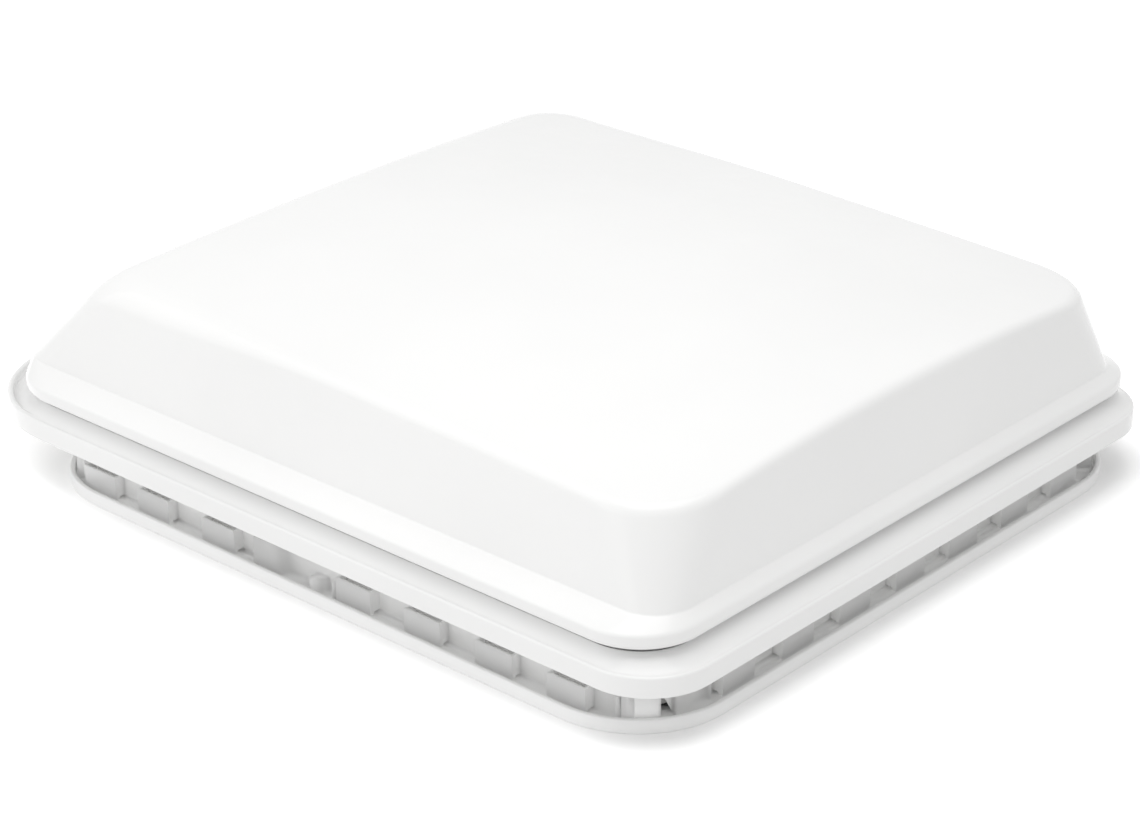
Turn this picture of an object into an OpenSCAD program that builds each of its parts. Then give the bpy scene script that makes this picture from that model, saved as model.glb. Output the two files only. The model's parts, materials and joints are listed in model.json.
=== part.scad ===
// Caravan roof vent: a hinged dome on a roof flange, lifted by a crank, with a lower trim frame.
// Millimetres. Origin: middle of the roof cut-out, at the level where the flange meets the roof.
// +X points away from the hinge, +Z up.

/* [Roof opening] */
// Length of the cut-out in the roof, along X
cutout_l = 405; // [395:1:430]
// Width of the cut-out in the roof, along Y
cutout_w = 380; // [372:1:410]
// Thickness of the roof between the two frames
roof_t = 20; // [20:0.5:36]

/* [Outer frame] */
// Reach of the flange past the cut-out at both sides
flange_side = 11.5; // [9:0.5:20]
// Reach of the flange past the cut-out at the free end
flange_free = 14.8; // [12:0.1:25]
// Reach of the flange past the cut-out at the hinge end
flange_hinge = 58.5; // [56:0.1:66]
// Corner radius of the flange at the free end
flange_r = 35; // [30:1:45]
// Corner radius of the flange at the hinge end
flange_hinge_r = 66; // [56:1:74]
// Height of the flange's raised lip
flange_h = 10.4; // [9:0.1:11.5]
// Wall thickness of the flange
flange_t = 3; // [2:0.1:3.5]
// Height of the coaming above the roof
coaming_h = 27; // [25:0.1:27]
// Depth of the collar below the roof's outer skin
collar_d = 22; // [18:0.5:22.5]

/* [Dome] */
// Height of the dome's foot above the roof
foot_z = 20.2; // [19:0.1:21]
// Height of the upright rim at the foot
rim_h = 6.8; // [6:0.1:7.5]
// Height of the crown above the roof
crown_z = 95.6; // [88:0.2:110]
// Thickness of the dome's skin
dome_t = 3; // [2:0.1:3.2]
// Inset of the foot from the flange's edge at the hinge end
foot_hinge = 28.2; // [27:0.1:29]
// Inset of the foot from the flange's edge at the free end
foot_free = 7.8; // [6:0.1:9]
// Inset of the foot from the flange's edge at the sides
foot_side = 3.1; // [2:0.1:5]
// Corner radius of the foot at the free end
foot_r = 33.5; // [30:0.5:40]
// Corner radius of the foot at the hinge end
foot_hinge_r = 42; // [36:0.5:48]
// Inward slope of the end wall at the hinge
slope_hinge = 0.91; // [0.6:0.01:1]
// Inward slope of the end wall at the free end
slope_free = 0.1; // [0.05:0.01:0.3]
// Inward slope of the side walls
slope_side = 0.2; // [0.1:0.01:0.4]
// Length of the shoulder's curve on each side of the edge, at the free end
shoulder = 8; // [6:0.2:12]
// Length of the shoulder's curve on each side of the edge, at the hinge end
shoulder_hinge = 22; // [14:0.5:24]

/* [Hinge and lift] */
// Distance of each hinge from the middle
hinge_y = 110; // [90:1:125]
// Diameter of the hinge pins
hinge_pin_d = 4; // [3:0.1:5]
// Largest opening angle of the dome
open_angle = 50; // [35:1:50]
// Length of the lift arms between pivot and roller
arm_l = 171.5; // [168:0.1:173]
// Slope of the closed arms
arm_slope = 7.5; // [7:0.1:8]
// Diameter of the cross shaft
shaft_d = 10; // [9:0.1:11]
// Diameter of the rollers
roller_d = 9; // [8.6:0.1:9.2]
// Diameter of the roller pins
roller_pin_d = 5; // [4:0.1:5.5]

/* [Crank] */
// Module of the gear pair
gear_m = 1; // [0.96:0.01:1.04]
// Diameter of the crank's disc
disc_d = 54; // [50:1:56]
// Diameter of the crank's spindle
spindle_d = 8; // [7:0.1:8.4]

/* [Inner frame] */
// Cover of the lower frame past the cut-out
cover = 7.5; // [6:0.1:12]
// Corner radius of the lower frame
inner_r = 52; // [46:1:58]
// Height of the lower frame's lip
lip_h = 7.2; // [6.8:0.1:9]
// Thickness of the lower frame's floor
floor_t = 2; // [1.6:0.1:2.4]
// Height of the box ribs above the floor
box_h = 12.6; // [8:0.2:14]
// Width of each box rib
box_w = 23; // [16:0.5:26]

/* [Flyscreen] */
// Width of the screen frame's bars
screen_bar = 14; // [14:0.5:18]
// Thickness of the screen frame
screen_t = 6.5; // [6.2:0.1:7]
// Travel of each catch
catch_travel = 6; // [4:0.5:6]

/* [Hidden] */
$fn = 48;

white = [0.93, 0.93, 0.92];
grey = [0.62, 0.64, 0.66];
dark = [0.12, 0.12, 0.13];
steel = [0.72, 0.73, 0.75];

// Gap that lets one piece turn on another
fit = 0.05;
// Gap between pieces that pass each other
pass = 0.5;

// Half sizes of the nested walls, from the cut-out inwards
cut_x = cutout_l / 2;
cut_y = cutout_w / 2;
sleeve_in = 7.5;
sleeve_t = 2.5;
sleeve_r = 30;
collar_in = sleeve_in + sleeve_t + 1.5;
collar_t = 3;
collar_r = 26;
collar_x = cut_x - collar_in;
collar_y = cut_y - collar_in;
shaft_wall = collar_y - collar_t;

// Flange outline
flange_x0 = -cut_x - flange_hinge;
flange_x1 = cut_x + flange_free;
flange_y = cut_y + flange_side;
flange_mid = (flange_x0 + flange_x1) / 2;
flange_x = (flange_x1 - flange_x0) / 2;
// Depth of the flange's shaped edge, width of its lip and depth of the gutter behind the lip
edge_in = 24;
rim_w = 3.2;
gutter = 5.2;
plate_top = flange_h - gutter;
// Deck that fills the gutter along the sides and the free end: its inset, its level and the ends of its fall
deck_in = rim_w / 2;
deck_z = flange_h - 0.05;
deck_high_x = -cut_x + 2;
deck_low_x = deck_high_x - 38;

// Dome: foot outline and the ring where flare and wall meet
foot_x0 = flange_x0 + foot_hinge;
foot_x1 = flange_x1 - foot_free;
foot_y = flange_y - foot_side;
rim_z = foot_z + rim_h;
// Upstand under the dome's edge: reach of its base, inset of its top edge, inner face, height
up_out = foot_side - deck_in;
up_top = 3.4;
up_in = 7.2;
up_z = foot_z - 4.2;
flare_h = 5.4;
wall_z = rim_z + flare_h;
wall_x0 = foot_x0 + 3.8;
wall_x1 = foot_x1 - 5.7;
wall_y = foot_y - 14.2;
wall_r = 21.3;
// Corner radii under the shoulder, at the free end and at the hinge end
top_r = 43;
hinge_top_r = 24;
// Middle of the crown's curves and fall of the rim's upper edge towards the hinge end
dome_mid = (wall_x0 + wall_x1) / 2;
rim_fall = 2.5;

// Hinge axis, arm pivot and roller place with the dome closed
hinge_x = foot_x0 + 12.8;
hinge_z = foot_z + 6.8;
knuckle_r = 4.5;
leaf_w = 20;
lug_w = 5.5;
pivot_x = hinge_x + arm_l * cos(arm_slope);
pivot_z = hinge_z - arm_l * sin(arm_slope);
reach_closed = 2 * arm_l * cos(arm_slope);
reach_open = 2 * arm_l * cos(arm_slope + open_angle);
roller_x = hinge_x + reach_closed;

// Lift train across the opening, from the collar wall inwards
bush_t = 5;
arm_t = 4;
arm_y = shaft_wall - bush_t - pass - arm_t;
arm_h = 11;
hub_r = shaft_d / 2 + 4;
hub_l = 13;
roller_w = 8;
rail_y = arm_y - 1.5;
rail_t = 1.5;
roller_y = rail_y - 1.5 - roller_w;
web_y = roller_y - pass;
web_t = 2;
rail_foot = 12;
rail_z0 = hinge_z - roller_d / 2 - fit - rail_t;
rail_z1 = hinge_z + roller_d / 2 + fit + rail_t;
rail_x0 = hinge_x + reach_open - roller_d / 2 - 3.8;
rail_x1 = roller_x + roller_d / 2 + 3.5;

// Stiffening ring of the dome
ring_z = rail_z1;
ring_t = 3;
ring_inner_y = web_y - web_t - rail_foot - 2;
ring_slope = dome_t * sqrt(1 + slope_hinge * slope_hinge) + slope_hinge * (ring_z + ring_t - wall_z);
ring_x0 = wall_x0 + ring_slope + 0.4;
ring_x1 = wall_x1 - dome_t - slope_free * (ring_z + ring_t - wall_z) - 0.4;
ring_y = wall_y - dome_t - slope_side * (ring_z + ring_t - wall_z) - 0.4;

// Lower frame levels
lip_top = -roof_t;
floor_z = lip_top - lip_h;
floor_top = floor_z + floor_t;
sleeve_top = lip_top + 18.5;
lip_t = 2.5;
post_x = collar_x - 13;
post_y = collar_y - 13;

// Gear pair
teeth = 24;
wheel_r = gear_m * teeth / 2;
worm_r = 5 * gear_m;
tooth_d = 0.75 * gear_m;
gear_gap = 0.3;
wheel_w = 6;
worm_x = pivot_x + wheel_r + worm_r;
gear_y = -(shaft_wall - 43.5);
worm_l = 18;
worm_pitch = PI * gear_m;

// Crank recess and gearbox
disc_z0 = floor_z + 0.4;
disc_z1 = floor_z + 8.6;
cup_r = disc_d / 2 + 2;
cup_z = floor_z + 9;
cup_top = cup_z + 2;
box_x0 = pivot_x - 22;
box_x1 = worm_x + 15;
box_y0 = gear_y - 15;
box_y1 = gear_y + 15;
box_t = 2.5;
box_top = pivot_z + 14;
cover_t = 2.5;
box_post = 4.5;
gear_screw_l = 10;

// Folding lever in the disc
lever_w = 9;
lever_t = 4.6;
lever_y = gear_y + 13;
lever_z = disc_z0 + 0.2 + lever_t / 2;
lever_pin_x = worm_x - 15;
lever_pin_d = 2.5;
slot_x = 19;

// Screen opening
screen_x = collar_x - collar_t - 20;
screen_y0 = gear_y + cup_r + 5;
screen_y1 = shaft_wall - 10.5;
screen_gap = 0.8;
screen_z0 = floor_z + 0.2;
screen_z1 = screen_z0 + screen_t;
bar_y0 = screen_y0 + screen_gap;
bar_y1 = screen_y1 - 1.8;
bar_x = screen_x - screen_gap;
screen_pin_d = 4;
screen_pin_y = bar_y1 - 3;
screen_pin_z = screen_z0 + 2.5;
catch_x = 90;
catch_w = 20;
catch_t = 1.8;
catch_z = screen_z0 + 2.3;

// Rounded rectangle about the origin, with its own radius at the hinge end where one is given
module rounded(hx, hy, r, hinge_r = undef) {
    q = is_undef(hinge_r) ? r : hinge_r;
    translate([q - hx, -hy])
        square([2 * hx - q - r, 2 * hy]);
    translate([-hx, q - hy])
        square([hx, 2 * (hy - q)]);
    translate([0, r - hy])
        square([hx, 2 * (hy - r)]);
    for (sy = [-1, 1]) {
        translate([hx - r, sy * (hy - r)])
            circle(r);
        translate([q - hx, sy * (hy - q)])
            circle(q);
    }
}

// Rounded rectangle between two corners
module rounded_span(x0, x1, y0, y1, r) {
    translate([(x0 + x1) / 2, (y0 + y1) / 2])
        rounded((x1 - x0) / 2, (y1 - y0) / 2, r);
}

// Upright slab with a rounded outline
module slab(hx, hy, r, z0, z1, hinge_r = undef) {
    translate([0, 0, z0])
        linear_extrude(z1 - z0)
            rounded(hx, hy, r, hinge_r);
}

// Upright wall that follows a rounded rectangle
module wall(hx, hy, r, t, z0, z1, hinge_r = undef) {
    q = is_undef(hinge_r) ? r : hinge_r;
    translate([0, 0, z0])
        linear_extrude(z1 - z0)
            difference() {
                rounded(hx, hy, r, q);
                rounded(hx - t, hy - t, r - t, q - t);
            }
}

// Carries a section round a rounded rectangle: section x = 0 is the outline, negative x is inside
module along_edge(hx, hy, r, hinge_r = undef) {
    q = is_undef(hinge_r) ? r : hinge_r;
    for (k = [0 : 3]) {
        sx = (k == 0 || k == 3) ? 1 : -1;
        sy = k < 2 ? 1 : -1;
        corner = sx > 0 ? r : q;
        translate([sx * (hx - corner), sy * (hy - corner), 0])
            rotate(90 * k)
                rotate_extrude(angle = 90)
                    translate([corner, 0])
                        children();
        reach = k % 2 == 0 ? hx : hy;
        start = k % 2 == 0 ? hy - corner : hx - (k == 1 ? q : r);
        end = k % 2 == 0 ? hy - corner : hx - (k == 1 ? r : q);
        rotate([90, 0, 90 * k])
            translate([reach, 0, -start])
                linear_extrude(start + end)
                    children();
    }
}

// Rod along Y between two places
module rod_y(x, z, y0, y1, r) {
    translate([x, y0, z])
        rotate([-90, 0, 0])
            cylinder(h = y1 - y0, r = r);
}

// Block between two corners
module block(x0, x1, y0, y1, z0, z1) {
    translate([x0, y0, z0])
        cube([x1 - x0, y1 - y0, z1 - z0]);
}

// Pan-head screw, head below, pointing up
module screw_up(x, y, z_head, d, l) {
    translate([x, y, z_head - 0.5 * d])
        cylinder(h = 0.5 * d, r = d);
    translate([x, y, z_head - 0.1])
        cylinder(h = l + 0.1, r = d / 2);
}

module at_posts() {
    for (sx = [-1, 1], sy = [-1, 1])
        translate([sx * post_x, sy * post_y, 0])
            children();
}

// Section of the flange's outer edge: skirt, rounded lip and the gutter behind it
module flange_section() {
    round_r = 1.4;
    polygon(concat(
        [[0, 0]],
        [for (a = [0 : 15 : 90]) [round_r * (cos(a) - 1), flange_h + round_r * (sin(a) - 1)]],
        [for (a = [90 : 15 : 180]) [round_r * (cos(a) + 1) - rim_w, flange_h + round_r * (sin(a) - 1)]],
        [[-rim_w - 0.6, plate_top], [-edge_in, plate_top], [-edge_in, plate_top - flange_t],
         [-flange_t, plate_top - flange_t], [-flange_t, 0]]));
}

// Section of the upstand under the dome's edge, hollowed on its outer side; x = 0 is the dome's foot
module upstand_section() {
    polygon(concat(
        [for (a = [0 : 10 : 90]) [up_out - (up_out + up_top) * cos(a), up_z - (up_z - deck_z + 0.1) * sin(a)]],
        [[up_out, plate_top - 0.5], [-up_in, plate_top - 0.5], [-up_in, up_z - 0.2],
         [-up_in + 0.6, up_z + 0.4], [-up_top - 0.6, up_z + 0.4]]));
}

// Upstand round three sides; the hinge end stays open for the swing of the dome's edge
module upstand() {
    difference() {
        translate([(foot_x0 + foot_x1) / 2, 0, 0])
            along_edge((foot_x1 - foot_x0) / 2, foot_y, foot_r, foot_hinge_r)
                upstand_section();
        block(foot_x0 - 20, hinge_x + 2, -foot_y - 20, foot_y + 20, plate_top, up_z + 5);
    }
}

// Deck between lip and upstand, level along the sides and falling to the gutter at the hinge end
module deck() {
    back = up_in - 0.5;
    intersection() {
        difference() {
            translate([flange_mid, 0, 0])
                slab(flange_x - deck_in, flange_y - deck_in, flange_r - deck_in, plate_top - 0.5, deck_z,
                    flange_hinge_r - deck_in);
            translate([(foot_x0 + foot_x1) / 2, 0, 0])
                slab((foot_x1 - foot_x0) / 2 - back, foot_y - back, foot_r - back, plate_top - 1, deck_z + 1,
                    foot_hinge_r - back);
        }
        rotate([90, 0, 0])
            translate([0, 0, -flange_y])
                linear_extrude(2 * flange_y)
                    polygon([[flange_x1, plate_top - 0.5], [flange_x1, deck_z], [deck_high_x, deck_z],
                        [deck_low_x, plate_top - 0.1], [deck_low_x, plate_top - 0.5]]);
    }
}

module hinge_lug(y) {
    rod_y(hinge_x, hinge_z, y, y + lug_w, knuckle_r);
    block(hinge_x, hinge_x + 14, y, y + lug_w, hinge_z - knuckle_r, hinge_z + knuckle_r);
    block(hinge_x + 3.5, hinge_x + 14, y, y + lug_w, plate_top - 1, hinge_z);
}

module outer_frame() {
    color(white)
        difference() {
            union() {
                translate([flange_mid, 0, 0])
                    along_edge(flange_x, flange_y, flange_r, flange_hinge_r)
                        flange_section();
                translate([flange_mid, 0, 0])
                    slab(flange_x - edge_in + 1, flange_y - edge_in + 1, flange_r - edge_in + 1,
                        plate_top - flange_t, plate_top - 0.1, flange_hinge_r - edge_in + 1);
                deck();
                slab(collar_x, collar_y, collar_r, -collar_d, coaming_h);
                upstand();
                for (s = [-1, 1], side = [-1, 1])
                    hinge_lug(s * hinge_y + side * (leaf_w / 2 + pass + lug_w / 2) - lug_w / 2);
            }
            difference() {
                slab(collar_x - collar_t, collar_y - collar_t, collar_r - collar_t,
                    -collar_d - 1, coaming_h + 1);
                at_posts()
                    translate([0, 0, -collar_d - 2])
                        cylinder(h = collar_d + 7, r = 7);
            }
            at_posts()
                translate([0, 0, -collar_d - 1])
                    cylinder(h = collar_d - 1, r = 2.1);
            for (s = [-1, 1])
                rod_y(pivot_x, pivot_z, s > 0 ? shaft_wall - 1 : -shaft_wall - 2,
                    s > 0 ? shaft_wall + 2 : -shaft_wall + 1, shaft_d / 2 + 3);
            for (s = [-1, 1])
                rod_y(hinge_x, hinge_z, s * hinge_y - 20, s * hinge_y + 20, hinge_pin_d / 2 + fit);
        }
}

module roof_gasket() {
    color(dark)
        translate([flange_mid, 0, 0])
            wall(flange_x - flange_t - 1.5, flange_y - flange_t - 1.5, flange_r - flange_t - 1.5,
                9, -1, plate_top - flange_t, flange_hinge_r - flange_t - 1.5);
}

// Hollow bulb on a clip that grips the coaming's top edge
module dome_seal() {
    bulb = (ring_z - 0.35 - coaming_h) / 2;
    color(dark)
        along_edge(collar_x - collar_t / 2, collar_y - collar_t / 2, collar_r - collar_t / 2) {
            difference() {
                translate([0, coaming_h + bulb])
                    circle(bulb, $fn = 24);
                translate([0, coaming_h + bulb])
                    circle(bulb - 1, $fn = 24);
            }
        }
}

module hinge_pins() {
    color(steel)
        for (s = [-1, 1])
            rod_y(hinge_x, hinge_z, s * hinge_y - leaf_w / 2 - pass - lug_w,
                s * hinge_y + leaf_w / 2 + pass + lug_w, hinge_pin_d / 2);
}

module shaft_bushes() {
    color(grey)
        for (s = [-1, 1])
            mirror([0, s < 0 ? 1 : 0, 0])
                difference() {
                    union() {
                        rod_y(pivot_x, pivot_z, shaft_wall - bush_t, shaft_wall, shaft_d / 2 + 7);
                        rod_y(pivot_x, pivot_z, shaft_wall - 1, shaft_wall + 1.9,
                            shaft_d / 2 + 3 - fit);
                    }
                    rod_y(pivot_x, pivot_z, shaft_wall - bush_t - 1, shaft_wall + 1.5, shaft_d / 2 + fit);
                }
}

module at_gear_posts() {
    for (x = [box_x0 + box_post + 1, box_x1 - box_post - 1], y = [box_y0 + box_post + 1, box_y1 - box_post - 1])
        translate([x, y, 0])
            children();
}

module gearbox_housing() {
    color(grey)
        difference() {
            union() {
                difference() {
                    block(box_x0, box_x1, box_y0, box_y1, cup_top, box_top);
                    block(box_x0 + box_t, box_x1 - box_t, box_y0 + box_t, box_y1 - box_t,
                        cup_top + 3, box_top + 1);
                }
                at_gear_posts()
                    translate([0, 0, cup_top])
                        cylinder(h = box_top - cup_top, r = 3.5);
            }
            at_gear_posts()
                translate([0, 0, box_top - gear_screw_l - 2])
                    cylinder(h = gear_screw_l + 3, r = 1.5 + fit);
            rod_y(pivot_x, pivot_z, box_y0 - 1, box_y1 + 1, shaft_d / 2 + 0.4);
            translate([worm_x, gear_y, cup_top - 1])
                cylinder(h = 6, r = spindle_d / 2 + fit);
        }
}

module gearbox_cover() {
    color(grey)
        difference() {
            block(box_x0, box_x1, box_y0, box_y1, box_top, box_top + cover_t);
            at_gear_posts()
                translate([0, 0, box_top - 1])
                    cylinder(h = cover_t + 2, r = 1.7);
            translate([worm_x, gear_y, box_top - 1])
                cylinder(h = cover_t + 2, r = 3 + fit);
        }
}

module gearbox_screws() {
    color(steel)
        at_gear_posts() {
            translate([0, 0, box_top + cover_t])
                cylinder(h = 1.8, r = 2.9);
            translate([0, 0, box_top - gear_screw_l])
                cylinder(h = cover_t + gear_screw_l + 0.1, r = 1.5);
        }
}

// One box rib: three thin walls, open at the top, with a slit under both side walls
module box_rib(w, deep, h) {
    skin = 1.4;
    difference() {
        cube([w, deep, h]);
        translate([skin, skin, 1.5])
            cube([w - 2 * skin, deep, h]);
        translate([-1, skin + 1.2, 0.1])
            cube([w + 2, deep, 1.4]);
    }
}

// Sets the box ribs along one wall: x runs along the wall, y points to the wall
module rib_row(starts, out, y_out) {
    for (x = starts)
        translate([x, -y_out, floor_top - 0.1])
            box_rib(box_w, out + 0.2, box_h + 0.1);
}

// Places a form at the sleeve's four corners: x points outwards, y along the sleeve
module at_corners() {
    for (sx = [-1, 1], sy = [-1, 1])
        translate([sx * (cut_x - sleeve_in - 8.5), sy * (cut_y - sleeve_in - 8.5), 0])
            rotate(atan2(sy, sx))
                children();
}

// Section of the lower frame's outer lip with a rounded lower edge
module lip_section() {
    round_r = 0.8;
    polygon(concat(
        [for (a = [-90 : 15 : 0]) [round_r * (cos(a) - 1), floor_z + round_r * (1 + sin(a))]],
        [[0, lip_top - 0.5], [-0.5, lip_top], [-lip_t + 0.3, lip_top], [-lip_t, lip_top - 0.3],
         [-lip_t, floor_top - 0.1], [-6, floor_top - 0.1], [-6, floor_z]]));
}

module inner_frame() {
    box_out = cut_y - 1;
    box_end = cut_x - 1;
    deep = sleeve_in - 1;
    side_starts = [for (f = [-0.864, -0.665, -0.431, 0.033, 0.257, 0.4815, 0.701]) f * cut_x];
    end_starts = [for (f = [-0.716, -0.484, -0.253, -0.021, 0.211, 0.442, 0.674]) f * cut_y];
    color(white)
        difference() {
            union() {
                along_edge(cut_x + cover, cut_y + cover, inner_r)
                    lip_section();
                slab(cut_x + cover - 4, cut_y + cover - 4, inner_r - 4, floor_z, floor_top);
                wall(cut_x - sleeve_in, cut_y - sleeve_in, sleeve_r, sleeve_t, floor_top - 0.1, sleeve_top);
                for (turn = [0, 180])
                    rotate(turn)
                        rib_row(turn == 0 ? side_starts : [for (x = side_starts) -x - box_w], deep, box_out);
                for (turn = [90, 270])
                    rotate(turn)
                        rib_row(end_starts, deep, box_end);
                // taller thin-walled rib, screw boss and stiffening web in the middle of each side
                for (turn = [0, 180])
                    rotate(turn) {
                        block(-50, -32, -box_out, -box_out + 1.4, floor_top - 0.1, floor_top + 15);
                        block(-33.4, -32, -box_out, -box_out + deep + 0.2, floor_top - 0.1, floor_top + 15);
                        block(3.6, 5.1, -box_out + 0.5, -box_out + deep + 0.2, floor_top - 0.1, floor_top + 9);
                        translate([-8, -box_out + 2.2, floor_top - 0.1])
                            cylinder(h = 6.5, r = 4);
                        block(-12, -4, -box_out + 2.2, -box_out + deep + 0.2, floor_top - 0.1, floor_top + 6.4);
                    }
                // corner posts across the diagonals, each with a stepped-back flank and two thin fins
                at_corners() {
                    block(-1.5, 7.5, -4.6, 7.2, floor_top - 0.1, sleeve_top - 3);
                    block(-1.5, 5.7, -10.2, -4.5, floor_top - 0.1, sleeve_top - 3);
                }
                for (sx = [-1, 1], sy = [-1, 1])
                    mirror([sx < 0 ? 1 : 0, 0, 0])
                        mirror([0, sy < 0 ? 1 : 0, 0]) {
                            block(cut_x - 23.3, cut_x - 21.7, cut_y - 13, cut_y - 5,
                                floor_top - 0.1, sleeve_top - 11);
                            block(cut_x - 8.5, cut_x - 3.5, cut_y - 48.7, cut_y - 47.2,
                                floor_top - 0.1, sleeve_top - 11);
                        }
                // rim round the screen opening and the recess for the crank
                block(-screen_x - 2.5, screen_x + 2.5, screen_y0 + 14, screen_y1 + 2.5,
                    floor_top - 0.1, screen_z1);
                translate([worm_x, gear_y, floor_top - 0.1])
                    cylinder(h = cup_top - floor_top + 0.1, r = cup_r + 2);
                at_posts()
                    translate([0, 0, floor_top - 0.1])
                        cylinder(h = 1.6, r = 5.5);
            }
            // three-sided cut in the sleeve beside each corner post
            at_corners()
                translate([-6, 0, 0])
                    rotate([90, 0, 90])
                        linear_extrude(12)
                            polygon([[7.6, floor_top], [13.5, floor_top], [7.6, sleeve_top - 11]]);
            translate([0, 0, floor_z - 1])
                linear_extrude(40)
                    rounded_span(-screen_x, screen_x, screen_y0, screen_y1, 2);
            translate([worm_x, gear_y, floor_z - 1])
                cylinder(h = cup_z - floor_z + 1, r = cup_r);
            translate([worm_x, gear_y, floor_z])
                cylinder(h = 40, r = spindle_d / 2 + 0.5);
            at_posts() {
                translate([0, 0, floor_z - 1])
                    cylinder(h = 20, r = 2.3);
                translate([0, 0, floor_z - 0.01])
                    cylinder(h = 2.3, r1 = 4.4, r2 = 2.3);
            }
            translate([-screen_x - 4, screen_pin_y, screen_pin_z])
                rotate([0, 90, 0])
                    cylinder(h = 2 * screen_x + 8, r = screen_pin_d / 2 + fit);
        }
}

module clamp_screws() {
    color(steel)
        at_posts() {
            translate([0, 0, floor_z + 0.15])
                cylinder(h = 2, r1 = 4, r2 = 2);
            translate([0, 0, floor_z + 1])
                cylinder(h = -4 - floor_z - 1, r = 2);
        }
}

// Height of the dome's crowned top, for a skin that lies t inside the outer one
function top_z(x, y, t) =
    let (u = x - dome_mid)
    crown_z - t - 0.0227 * u - u * u / 6808 - y * y / 2231 + 4 * pow(u / 200, 2) * pow(y / 170, 2);

// Rounded rectangle as a list of points: arcs at the corners, further points along the sides
arc_n = 8;
side_n = 6;
function corner_point(b, k, j) =
    let (sx = (k == 0 || k == 3) ? 1 : -1, sy = k < 2 ? 1 : -1, a = 90 * (k + j / arc_n),
        r = sx > 0 ? b[4] : b[5])
    [(sx > 0 ? b[1] - r : b[0] + r) + r * cos(a),
     (sy > 0 ? b[3] - r : b[2] + r) + r * sin(a)];
function outline(b) = [
    for (k = [0 : 3]) each concat(
        [for (j = [0 : arc_n]) corner_point(b, k, j)],
        [for (j = [1 : side_n]) let (s = j / (side_n + 1))
            corner_point(b, k, arc_n) * (1 - s) + corner_point(b, (k + 1) % 4, 0) * s])];
// Bounds of the wall at a height: x0, x1, y0, y1, corner radius at the free end and at the hinge end
function wall_bounds(z, t) =
    let (h = z - wall_z, k = min(1.3, max(0, h / 45)))
    [wall_x0 + t * sqrt(1 + slope_hinge * slope_hinge) + slope_hinge * h,
     wall_x1 - t - slope_free * h,
     -wall_y + t + slope_side * h, wall_y - t - slope_side * h,
     wall_r + (top_r - wall_r) * k - t, wall_r + (hinge_top_r - wall_r) * min(1, k) - t];
// Bounds part of the way along the flare between rim and wall
function flare_bounds(s, t) =
    let (w = wall_bounds(wall_z, t),
        f = [foot_x0 + t, foot_x1 - t, -foot_y + t, foot_y - t, foot_r - t, foot_hinge_r - t])
    f * (1 - s) + w * s;
// Height part of the way along the flare; the rim's edge falls towards the hinge end
function flare_z(x, s, t) =
    let (k = min(1, max(0, (dome_mid - 172 - x) / 40)))
    rim_z - t * 0.4 + (flare_h + t * 0.4) * s - rim_fall * k * k * (3 - 2 * k) * (1 - s);
// Place where the wall meets the top, found by stepping
function edge_z(i, t, z, n) =
    n == 0 ? z : let (p = outline(wall_bounds(z, t))[i]) edge_z(i, t, top_z(p[0], p[1], t), n - 1);
function at_height(p, z) = [p[0], p[1], z];
// Length of the shoulder's curve: soft near the hinge, tighter from the middle to the free end
function shoulder_at(x) =
    let (s = min(1, max(0, (x + 190) / 190)))
    shoulder_hinge + (shoulder - shoulder_hinge) * s * s * (3 - 2 * s);
function bend(a, b, c, s) = a * (1 - s) * (1 - s) + b * 2 * s * (1 - s) + c * s * s;

ring_n = 4 * (arc_n + 1 + side_n);
// All rings of one skin from the foot to the crown
function skin(t) =
    let (
        low = wall_z,
        mid = [dome_mid + 14, 0],
        edges = [for (i = [0 : ring_n - 1]) edge_z(i, t, 80, 5)],
        tips = [for (i = [0 : ring_n - 1])
            let (p = outline(wall_bounds(edges[i], t))[i]) at_height(p, edges[i])],
        base = outline(wall_bounds(low, t)),
        below = [for (i = [0 : ring_n - 1])
            let (b = at_height(base[i], low), d = tips[i] - b)
                tips[i] - d * (shoulder_at(tips[i][0]) / norm(d))],
        above = [for (i = [0 : ring_n - 1])
            let (p = [tips[i][0], tips[i][1]], d = mid - p, q = p + d * (shoulder_at(p[0]) / norm(d)))
                [q[0], q[1], top_z(q[0], q[1], t)]])
    concat(
        [[for (p = outline(flare_bounds(0, t))) at_height(p, foot_z)]],
        [for (s = [0 : 0.5 : 0.51]) [for (p = outline(flare_bounds(s, t))) at_height(p, flare_z(p[0], s, t))]],
        [for (s = [0 : 0.34 : 0.7]) [for (i = [0 : ring_n - 1])
            at_height(base[i], low) * (1 - s) + below[i] * s]],
        [for (s = [0 : 0.2 : 1]) [for (i = [0 : ring_n - 1]) bend(below[i], tips[i], above[i], s)]],
        [for (s = [0.2 : 0.2 : 0.81]) [for (i = [0 : ring_n - 1])
            let (q = [above[i][0], above[i][1]] * (1 - s) + mid * s) [q[0], q[1], top_z(q[0], q[1], t)]]]);

module dome_shell() {
    outer = skin(0);
    inner = skin(dome_t);
    n = len(outer);
    rings = concat(outer, [for (k = [n - 1 : -1 : 0]) inner[k]]);
    mid_x = dome_mid + 14;
    crown = 2 * n * ring_n;
    function at(k, i) = (k % (2 * n)) * ring_n + i % ring_n;
    color(white)
        polyhedron(
            points = concat(
                [for (r = rings) each r],
                [[mid_x, 0, top_z(mid_x, 0, 0)], [mid_x, 0, top_z(mid_x, 0, dome_t)]]),
            faces = concat(
                [for (k = [0 : 2 * n - 1], i = [0 : ring_n - 1]) if (k != n - 1) each
                    [[at(k, i), at(k + 1, i + 1), at(k, i + 1)], [at(k, i), at(k + 1, i), at(k + 1, i + 1)]]],
                [for (i = [0 : ring_n - 1]) [at(n - 1, i), crown, at(n - 1, i + 1)]],
                [for (i = [0 : ring_n - 1]) [crown + 1, at(n, i), at(n, i + 1)]]),
            convexity = 6);
}

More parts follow.
